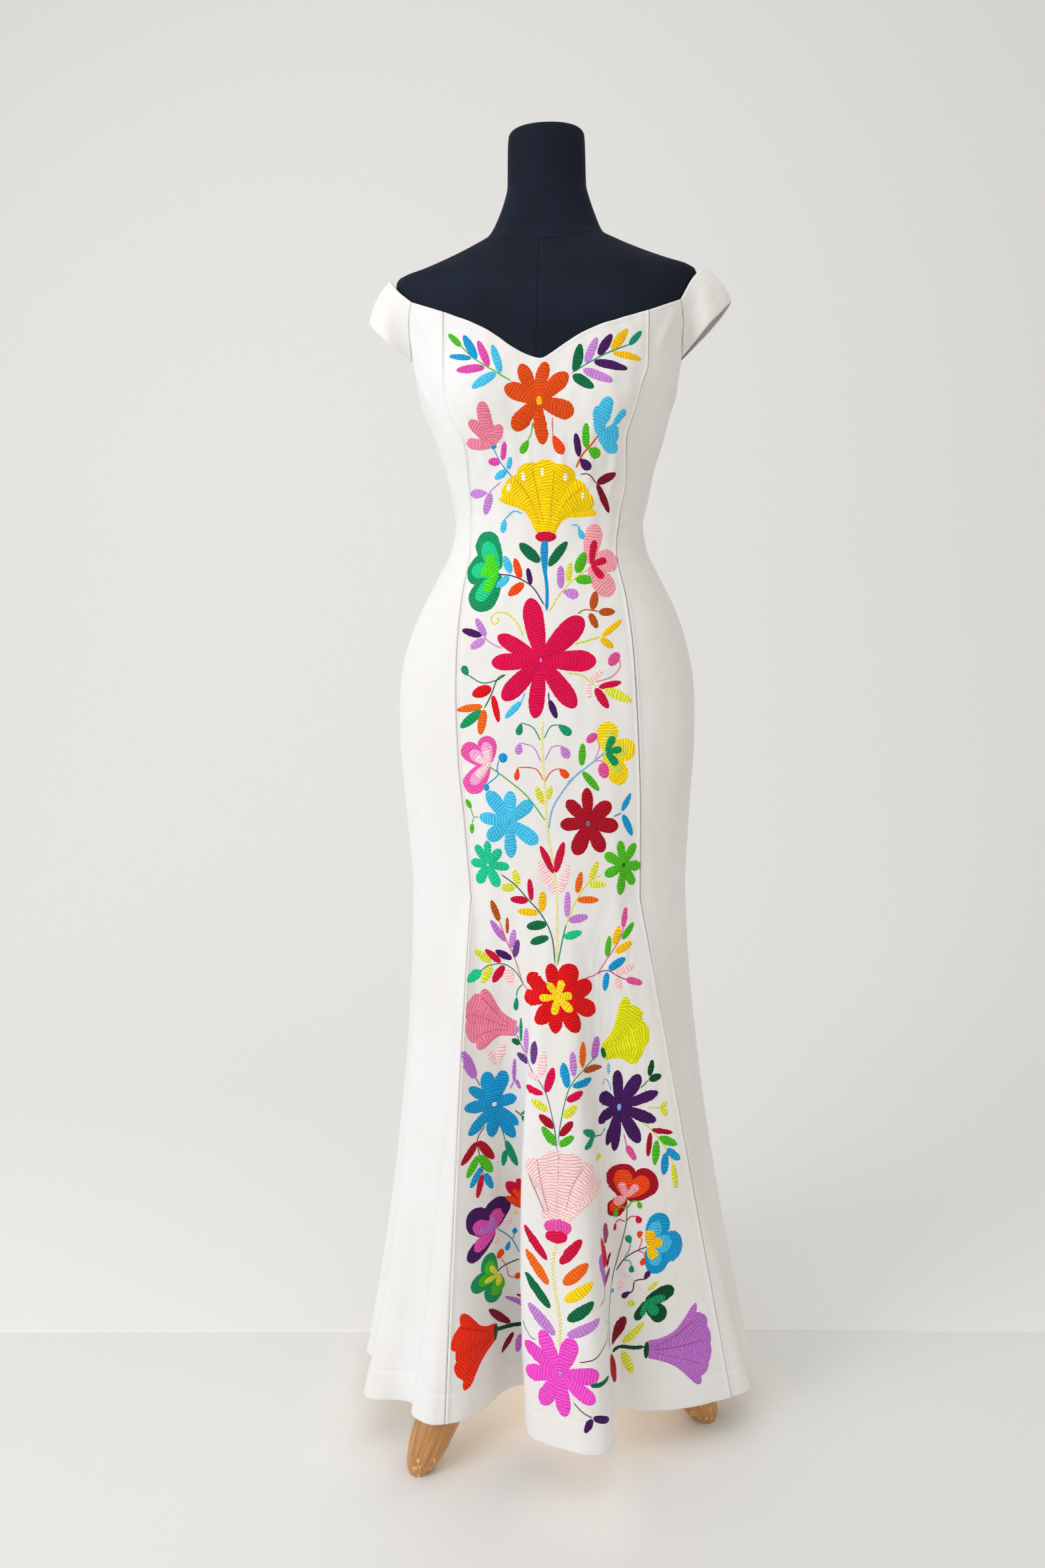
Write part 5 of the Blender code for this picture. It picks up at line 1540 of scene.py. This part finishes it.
def thread_material(bundle, strand):
    """Six-strand cotton in satin stitch: soft gloss, painted shade in the line between one pull of the
    needle and the next, and fine strands inside each, painted darker and lighter across them as shade and
    highlight. Both are drawn coarser than they are."""
    material, tree, shader = new_material("satin_stitch_cotton")
    uv = add(tree, "UVMap", uv_map="cloth").outputs["UV"]
    shaded = add(tree, "Attribute", attribute_name="thread").outputs["Color"]
    wear = add(tree, "TexNoise", {"Vector": uv, "Scale": 220.0})
    pulls, strands = (
        add(tree, "TexWave", {
            "Vector": uv,
            "Scale": WAVE_SCALE / spacing,
            "Distortion": distortion,
            "Detail": detail,
            "Detail Scale": size,
        }, bands_direction="X").outputs["Fac"]
        for spacing, distortion, detail, size in ((bundle, 4.0, 2.0, 1.2), (strand, 2.0, 1.0, 1.0))
    )
    # The pulls darken the dye in the line between them and lighten it on each pull, and the strands darken
    # and lighten it across each pull: painted shade and painted highlight. The coarse noise is a random
    # tone of the thread.
    for pattern, change in (
        (pulls, {"From Min": 0.02, "From Max": 0.52, "To Min": 0.73, "To Max": 1.20}),
        (strands, {"To Min": 0.86, "To Max": 1.12}),
        (wear.outputs["Fac"], {"To Min": 0.90, "To Max": 1.20}),
    ):
        change = add(tree, "MapRange", {"Value": pattern, **change})
        shaded = add(
            tree,
            "VectorMath",
            {0: shaded, "Scale": change.outputs["Result"]},
            operation="SCALE",
        ).outputs["Vector"]
    coarse = add(tree, "Bump", {"Height": pulls, "Strength": 0.65, "Distance": 0.0008})
    relief = add(
        tree,
        "Bump",
        {"Height": strands, "Normal": coarse.outputs["Normal"], "Strength": 0.6, "Distance": 0.0003},
    )
    feed(tree, shader, {
        "Base Color": shaded,
        "Roughness": 0.5,
        "Specular IOR Level": 0.1,
        "Sheen Weight": 0.01,
        "Sheen Roughness": 0.35,
        "Normal": relief.outputs["Normal"],
    })
    return material


def jersey_material(colour, shade):
    """Navy cotton jersey stretched over padding: dull, with fine ribs, and sunk seams down the
    centre front and round the base of the neck."""
    material, tree, shader = new_material("navy_jersey_cover")
    place = add(tree, "TexCoord").outputs["Object"]
    axes = add(tree, "SeparateXYZ", {"Vector": place})
    height = axes.outputs["Z"]
    across = add(tree, "Math", {0: axes.outputs["X"], 1: -POLE[0]}).outputs["Value"]
    off_centre = add(tree, "Math", {0: across, 1: COVER_SEAM_SHIFT}).outputs["Value"]
    slope = add(
        tree,
        "Math",
        {0: across, 1: NECK_SEAM_BOW, 2: SHOULDER_TILT},
        operation="MULTIPLY_ADD",
    ).outputs["Value"]
    level = add(
        tree, "Math", {0: slope, 1: across, 2: NECK_SEAM}, operation="MULTIPLY_ADD"
    ).outputs["Value"]
    off_neck = add(tree, "Math", {0: height, 1: level}, operation="SUBTRACT").outputs["Value"]
    near_centre, near_neck = (
        add(tree, "MapRange", {
            "Value": add(tree, "Math", {0: off}, operation="ABSOLUTE").outputs["Value"],
            "From Max": COVER_SEAM_HALF,
            "To Min": 1.0,
            "To Max": 0.0,
        }).outputs["Result"]
        for off in (off_centre, off_neck)
    )
    below = add(tree, "Math", {0: height, 1: NECK_SEAM + 0.001}, operation="LESS_THAN").outputs["Value"]
    front = add(tree, "Math", {0: near_centre, 1: below}, operation="MULTIPLY").outputs["Value"]
    seam = add(tree, "Math", {0: front, 1: near_neck}, operation="MAXIMUM").outputs["Value"]
    weave = add(tree, "TexNoise", {"Vector": place, "Scale": 900.0})
    lint = add(tree, "TexNoise", {"Vector": place, "Scale": 14.0, "Detail": 4.0})
    tone = add(tree, "ValToRGB", {"Fac": lint.outputs["Fac"]}, ((0.35, shade), (0.7, colour)))
    dark = add(tree, "Mix", {0: seam, 6: tone.outputs["Color"], 7: rgba("#0b0e14")}, data_type="RGBA")
    fine = add(tree, "Bump", {"Height": weave.outputs["Fac"], "Strength": 0.25, "Distance": 0.0003})
    sunk = add(
        tree,
        "Bump",
        {"Height": seam, "Normal": fine.outputs["Normal"], "Distance": 0.0009},
        invert=True,
    )
    feed(tree, shader, {
        "Base Color": dark.outputs[2],
        "Roughness": 0.88,
        "Specular IOR Level": 0.2,
        "Sheen Weight": 0.05,
        "Sheen Roughness": 0.45,
        "Sheen Tint": rgba("#4a5468"),
        "Normal": sunk.outputs["Normal"],
    })
    return material


def oak_material(name, colour, dark, source="uv"):
    """Turned oak, stained golden and varnished: long pores along the grain, and paler dents
    where the varnish has worn near the floor."""
    material, tree, shader = new_material(name)
    place = add(tree, "TexCoord").outputs["Object"]
    along, stretch = place, (230.0, 230.0, 14.0)
    if source == "uv":
        along = add(tree, "UVMap", uv_map="cloth").outputs["UV"]
        stretch = (230.0, 14.0, 1.0)
    pores = add(tree, "Mapping", {"Vector": along, "Scale": stretch})
    grain = add(tree, "TexNoise", {"Vector": pores.outputs["Vector"], "Scale": 1.0, "Detail": 4.0})
    tone = add(
        tree,
        "ValToRGB",
        {"Fac": grain.outputs["Fac"]},
        ((0.30, dark), (0.50, colour), (0.80, "#cf9c5c")),
    )
    dents = add(tree, "TexNoise", {"Vector": place, "Scale": 210.0, "Detail": 1.0})
    height = add(tree, "SeparateXYZ", {"Vector": place})
    near_floor = add(
        tree,
        "MapRange",
        {"Value": height.outputs["Z"], "From Min": 0.008, "From Max": 0.06, "To Min": 0.64, "To Max": 0.76},
    )
    worn = add(
        tree,
        "Math",
        {0: dents.outputs["Fac"], 1: near_floor.outputs["Result"]},
        operation="GREATER_THAN",
    )
    mix = add(
        tree,
        "Mix",
        {0: worn.outputs["Value"], 6: tone.outputs["Color"], 7: rgba("#e6bb82")},
        data_type="RGBA",
    )
    bump = add(tree, "Bump", {"Height": grain.outputs["Fac"], "Strength": 0.1, "Distance": 0.0003})
    feed(tree, shader, {
        "Base Color": mix.outputs[2],
        "Roughness": 0.42,
        "Coat Weight": 0.25,
        "Coat Roughness": 0.3,
        "Normal": bump.outputs["Normal"],
    })
    return material


def steel_material():
    """Drawn steel tube, brushed round: fine rings of roughness."""
    material, tree, shader = new_material("brushed_steel_tube")
    place = add(tree, "TexCoord").outputs["Object"]
    rings = add(tree, "Mapping", {"Vector": place, "Scale": (20.0, 20.0, 1500.0)})
    noise = add(tree, "TexNoise", {"Vector": rings.outputs["Vector"], "Scale": 1.0})
    rough = add(tree, "MapRange", {"Value": noise.outputs["Fac"], "To Min": 0.25, "To Max": 0.45})
    metal = {"Roughness": rough.outputs["Result"], "Base Color": rgba("#c4c5c8"), "Metallic": 1.0}
    feed(tree, shader, metal)
    return material


def paint_material(name, colour):
    """Matt wall paint with a slight roller texture."""
    material, tree, shader = new_material(name)
    place = add(tree, "TexCoord").outputs["Object"]
    roller = add(tree, "TexNoise", {"Vector": place, "Scale": 240.0})
    bump = add(tree, "Bump", {"Height": roller.outputs["Fac"], "Strength": 0.1, "Distance": 0.0005})
    paint = {"Normal": bump.outputs["Normal"], "Base Color": rgba(colour), "Roughness": 0.75}
    feed(tree, shader, paint)
    return material


# Settings that a user would change


class ClothSettings(bpy.types.PropertyGroup):
    thickness: FloatProperty(
        name="Cloth thickness", description="Thickness of the crepe", default=0.0012, min=0.0004,
        max=0.002, subtype="DISTANCE", unit="LENGTH",
    )
    colour: StringProperty(name="Cloth colour", description="sRGB hex of the crepe", default="#efeeec")
    shade: StringProperty(
        name="Cloth shade", description="sRGB hex of its slightly darker patches", default="#ebe9e5",
    )


class ThreadSettings(bpy.types.PropertyGroup):
    lift: FloatProperty(
        name="Stitch height", description="How far satin stitch stands off the cloth", default=0.0009,
        min=0.0003, max=0.002, subtype="DISTANCE", unit="LENGTH",
    )
    bundle: FloatProperty(
        name="Pull spacing", description="From one pull of the needle to the next", default=0.0035,
        min=0.001, max=0.005, subtype="DISTANCE", unit="LENGTH",
    )
    strand: FloatProperty(
        name="Strand spacing", description="From one strand of a thread to the next", default=0.0011,
        min=0.0004, max=0.002, subtype="DISTANCE", unit="LENGTH",
    )


class StandSettings(bpy.types.PropertyGroup):
    jersey: StringProperty(
        name="Jersey colour", description="sRGB hex of the form's cover", default="#141c2d",
    )
    jersey_shade: StringProperty(
        name="Jersey shade", description="sRGB hex of its darker patches", default="#0f1522",
    )
    wood: StringProperty(name="Wood colour", description="sRGB hex of the oak", default="#bf8748")
    wood_dark: StringProperty(
        name="Grain colour", description="sRGB hex of the oak's pores", default="#a9713a",
    )


class StageSettings(bpy.types.PropertyGroup):
    floor: StringProperty(name="Floor colour", description="sRGB hex of the floor", default="#eaebe9")
    wall: StringProperty(name="Wall colour", description="sRGB hex of the wall", default="#f3f3f1")
    key_power: FloatProperty(
        name="Key light", description="Power of the window light at the left", default=52.0, min=0.0,
        unit="POWER",
    )
    fill_power: FloatProperty(
        name="Fill light", description="Power of the fill light at the right", default=6.0, min=0.0,
        unit="POWER",
    )
    top_power: FloatProperty(
        name="Ceiling light", description="Power of the ceiling light", default=22.0, min=0.0,
        unit="POWER",
    )
    bounce_power: FloatProperty(
        name="Bounce", description="Power of the light off the floor under the hem", default=0.36,
        min=0.0, unit="POWER",
    )


class DRESS_OT_panels(bpy.types.Operator):
    """Sew the front panel, the side fronts and the backs"""

    bl_idname = "dress.panels"
    bl_label = "Dress panels"

    def execute(self, context):
        settings = context.scene.dress_cloth
        material = crepe_material("ivory_moss_crepe", settings.colour, settings.shade)
        for number, name in enumerate(PANELS):
            places, heights, hem, top = panel_grid(number, name)
            points = dress_point(places, heights)
            _, out, _ = bare_frame(places, heights)
            below = top[:, None] - heights
            above = heights - hem[:, None]
            dip = EDGE_ROLL * mound(below, EDGE_ROLL_HALF)
            dip += STITCH_DIP * mound(below - UNDERSTITCH, STITCH_DIP_HALF)
            dip += HEM_ROLL * mound(above, STITCH_DIP_HALF)
            points = points - dip[..., None] * out + POLE
            steps = np.linalg.norm(np.diff(points, axis=0), axis=-1)
            run = np.concatenate([np.zeros((1, steps.shape[1])), np.cumsum(steps, axis=0)])
            mesh = grid_sheet(points, np.stack([run, above], axis=-1))
            piece = finish("cloth_" + name, mesh, material)
            thicken(piece, settings.thickness)
            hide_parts(name)
        return {"FINISHED"}


class DRESS_OT_sleeves(bpy.types.Operator):
    """Sew the two folded bands that sit off the shoulders"""

    bl_idname = "dress.sleeves"
    bl_label = "Sleeve bands"

    def execute(self, context):
        settings = context.scene.dress_cloth
        material = bpy.data.materials["ivory_moss_crepe"]
        downs = np.linspace(1.0, 0.0, SLEEVE_ROWS + 1)
        for side in SLEEVE_LINES:
            shares = np.linspace(0.0, 1.0, SLEEVE_COLUMNS + 1)
            if side == "right":
                shares = shares[::-1]
            points = np.array([[sleeve_point(side, share, down) for down in downs] for share in shares])
            along = unit(np.gradient(points, axis=0))
            up = unit(np.gradient(points, axis=1))
            out = unit(np.cross(along, up))
            steps = np.linalg.norm(np.diff(points, axis=1), axis=-1)
            run = np.concatenate([np.zeros((len(shares), 1)), np.cumsum(steps, axis=1)], axis=1)
            far = run[:, -1:] - run
            dip = EDGE_ROLL * (mound(run, EDGE_ROLL_HALF) + mound(far, EDGE_ROLL_HALF))
            dip += STITCH_DIP * mound(far - UNDERSTITCH, SLEEVE_STITCH_HALF)
            dip += STITCH_DIP * mound(run - SLEEVE_HEM, SLEEVE_HEM_HALF)
            points = points - dip[..., None] * out + POLE
            widths = np.linalg.norm(np.diff(points[:, 0], axis=0), axis=-1)
            across = np.concatenate([[0.0], np.cumsum(widths)])
            uvs = np.stack([np.broadcast_to(across[:, None], run.shape), run], axis=-1)
            piece = finish("cloth_sleeve_" + side, grid_sheet(points, uvs), material)
            thicken(piece, settings.thickness)
            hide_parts("sleeve_" + side)
        return {"FINISHED"}


class DRESS_OT_embroidery(bpy.types.Operator):
    """Stitch the flowers, leaves and stems on the front panel"""

    bl_idname = "dress.embroidery"
    bl_label = "Embroidery"

    def execute(self, context):
        settings = context.scene.dress_thread
        material = thread_material(settings.bundle, settings.strand)
        for name, wanted in (("stitched_stems", True), ("stitched_motifs", False)):
            mesh = bmesh.new()
            colour_layer = mesh.verts.layers.float_color.new("thread")
            uv_layer = mesh.loops.layers.uv.new("cloth")
            shapes = []
            for number, row in enumerate(MOTIFS):
                if (row[0] == "stem") == wanted:
                    shapes += motif_shapes(number, row, settings.lift)
            stitch(mesh, (colour_layer, uv_layer), shapes)
            bmesh.ops.translate(mesh, verts=mesh.verts[:], vec=Vector(POLE))
            finish(name, mesh, material)
        return {"FINISHED"}


class DRESS_OT_form(bpy.types.Operator):
    """Make the limbless dress form in its jersey cover"""

    bl_idname = "dress.form"
    bl_label = "Dress form"

    def execute(self, context):
        settings = context.scene.dress_stand
        material = jersey_material(settings.jersey, settings.jersey_shade)
        heights = np.concatenate([np.linspace(*stretch) for stretch in FORM_ROWS])
        insets = np.full(len(heights), FORM_INSET)
        insets[: len(FORM_BOTTOM_INSETS)] += FORM_BOTTOM_INSETS
        sections = [form_section(height, inset) for height, inset in zip(heights, insets)]
        mesh, _, _ = loft(sections)
        bmesh.ops.translate(mesh, verts=mesh.verts[:], vec=Vector(POLE))
        piece = finish("jersey_dress_form", mesh, material, sharp=50)
        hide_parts("dress_form")
        return {"FINISHED"}


class DRESS_OT_stand(bpy.types.Operator):
    """Turn the three oak legs, and finish the hub and the steel pole"""

    bl_idname = "dress.stand"
    bl_label = "Stand"

    def execute(self, context):
        settings = context.scene.dress_stand
        leg_wood = oak_material("golden_oak_leg", settings.wood, settings.wood_dark)
        hub_wood = oak_material("golden_oak_hub", settings.wood, settings.wood_dark, "object")
        for name, degrees in LEG_ANGLES.items():
            mesh, corner_of, row_of = loft(leg_sections(degrees))
            uv_layer = mesh.loops.layers.uv.new("cloth")
            for face in mesh.faces:
                wraps = {loop.vert[corner_of] for loop in face.loops} == {0, LEG_CORNERS - 1}
                for loop in face.loops:
                    corner = loop.vert[corner_of]
                    if wraps and corner == 0:
                        corner = LEG_CORNERS
                    down = loop.vert[row_of] / LEG_ROWS * LEG_LENGTH
                    loop[uv_layer].uv = (corner / LEG_CORNERS * LEG_ROUND, down)
            bmesh.ops.translate(mesh, verts=mesh.verts[:], vec=Vector(POLE))
            piece = finish("oak_leg_" + name, mesh, leg_wood, sharp=50)
            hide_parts("leg_" + name)
        for node, material in (("stand_hub", hub_wood), ("stand_pole", steel_material())):
            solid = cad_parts[node]
            solid.data.materials.clear()
            solid.data.materials.append(material)
        return {"FINISHED"}


class DRESS_OT_stage(bpy.types.Operator):
    """Set the floor, the wall, the soft lights and the camera"""

    bl_idname = "dress.stage"
    bl_label = "Stage"

    def execute(self, context):
        settings = context.scene.dress_stage
        link = context.scene.collection.objects.link
        turn = Matrix.Translation(Vector(POLE)) @ Matrix.Rotation(math.radians(CAMERA_TURN), 4, "Z")
        groove_end = FLOOR_LINE + FLOOR_GROOVE
        cove = [(FLOOR_LINE, 0.0), (FLOOR_LINE + 0.5 * FLOOR_GROOVE, -FLOOR_GROOVE), (groove_end, 0.0)]
        cove.append((FLOOR_END, 0.0))
        for step in range(COVE_STEPS + 1):
            angle = 0.5 * math.pi * step / COVE_STEPS
            reach = COVE_START + COVE_RADIUS * math.sin(angle)
            cove.append((reach, COVE_RADIUS * (1.0 - math.cos(angle))))
        cove.append((COVE_START + COVE_RADIUS, STAGE_REACH))
        for name, colour, profile in (
            ("floor", settings.floor, [(-STAGE_REACH, 0.0), (FLOOR_LINE, 0.0)]),
            ("wall", settings.wall, cove),
        ):
            mesh = bmesh.new()
            rows = len(profile) - 1
            bmesh.ops.create_grid(mesh, x_segments=1, y_segments=rows, size=1.0)
            for vert in mesh.verts:
                vert.co = (vert.co.x * STAGE_REACH, *profile[grid_step(vert.co.y, rows)])
            bmesh.ops.transform(mesh, matrix=turn, verts=mesh.verts[:])
            data = bpy.data.meshes.new(name)
            mesh.to_mesh(data)
            mesh.free()
            data.shade_smooth()
            data.set_sharp_from_angle(angle=math.radians(30))
            data.materials.append(paint_material("matt_paint_" + name, colour))
            plane = bpy.data.objects.new(name, data)
            link(plane)
        for name, place, size, power, colour, aim in LAMPS:
            light = bpy.data.lights.new(name, "AREA")
            light.shape = "SQUARE"
            light.size = size
            light.energy = getattr(settings, power)
            light.color = linear(colour)
            lamp = bpy.data.objects.new(name, light)
            lamp.location = place
            way = Vector((0.0, 0.0, aim)) - Vector(place)
            lamp.rotation_euler = way.to_track_quat("-Z", "Y").to_euler()
            link(lamp)
        context.scene.view_settings.view_transform = "Standard"
        world = bpy.data.worlds.new("soft room light")
        world.use_nodes = True
        background = world.node_tree.nodes["Background"]
        feed(world.node_tree, background, {"Color": rgba("#fefcf9"), "Strength": 0.60})
        context.scene.world = world
        camera = bpy.data.cameras.new("camera")
        camera.sensor_width = SENSOR
        camera.lens = SENSOR * CAMERA_FOCUS / PICTURE_HEIGHT
        camera.shift_x = CAMERA_SHIFT[0] / PICTURE_HEIGHT
        camera.shift_y = CAMERA_SHIFT[1] / PICTURE_HEIGHT
        camera.clip_start = 0.05
        eye = bpy.data.objects.new("camera", camera)
        eye.location = Vector(POLE) + CAMERA_REACH * direction(CAMERA_TURN)
        eye.location.z += CAMERA_HEIGHT
        eye.rotation_euler = (math.radians(90.0), 0.0, math.radians(CAMERA_TURN))
        link(eye)
        context.scene.camera = eye
        return {"FINISHED"}


class DRESS_PT_panel(bpy.types.Panel):
    """Lists the steps that make the dress"""

    bl_idname = "DRESS_PT_panel"
    bl_label = "Embroidered dress"
    bl_space_type = "VIEW_3D"
    bl_region_type = "UI"
    bl_category = "Dress"

    def draw(self, context):
        for operator in OPERATORS:
            self.layout.operator(operator.bl_idname)
        for group in GROUPS:
            settings = getattr(context.scene, group)
            for name in settings.__annotations__:
                self.layout.prop(settings, name)


GROUPS = {
    "dress_cloth": ClothSettings,
    "dress_thread": ThreadSettings,
    "dress_stand": StandSettings,
    "dress_stage": StageSettings,
}
OPERATORS = (
    DRESS_OT_stage,
    DRESS_OT_panels,
    DRESS_OT_sleeves,
    DRESS_OT_embroidery,
    DRESS_OT_form,
    DRESS_OT_stand,
)


def register():
    for made in (*GROUPS.values(), *OPERATORS, DRESS_PT_panel):
        bpy.utils.register_class(made)
    for name, group in GROUPS.items():
        setattr(bpy.types.Scene, name, PointerProperty(type=group))


def unregister():
    for name in GROUPS:
        delattr(bpy.types.Scene, name)
    for made in (DRESS_PT_panel, *reversed(OPERATORS), *reversed(list(GROUPS.values()))):
        bpy.utils.unregister_class(made)


def main():
    register()
    bpy.ops.dress.stage()
    bpy.ops.dress.panels()
    bpy.ops.dress.sleeves()
    bpy.ops.dress.embroidery()
    bpy.ops.dress.form()
    bpy.ops.dress.stand()


if __name__ == "__main__":
    main()
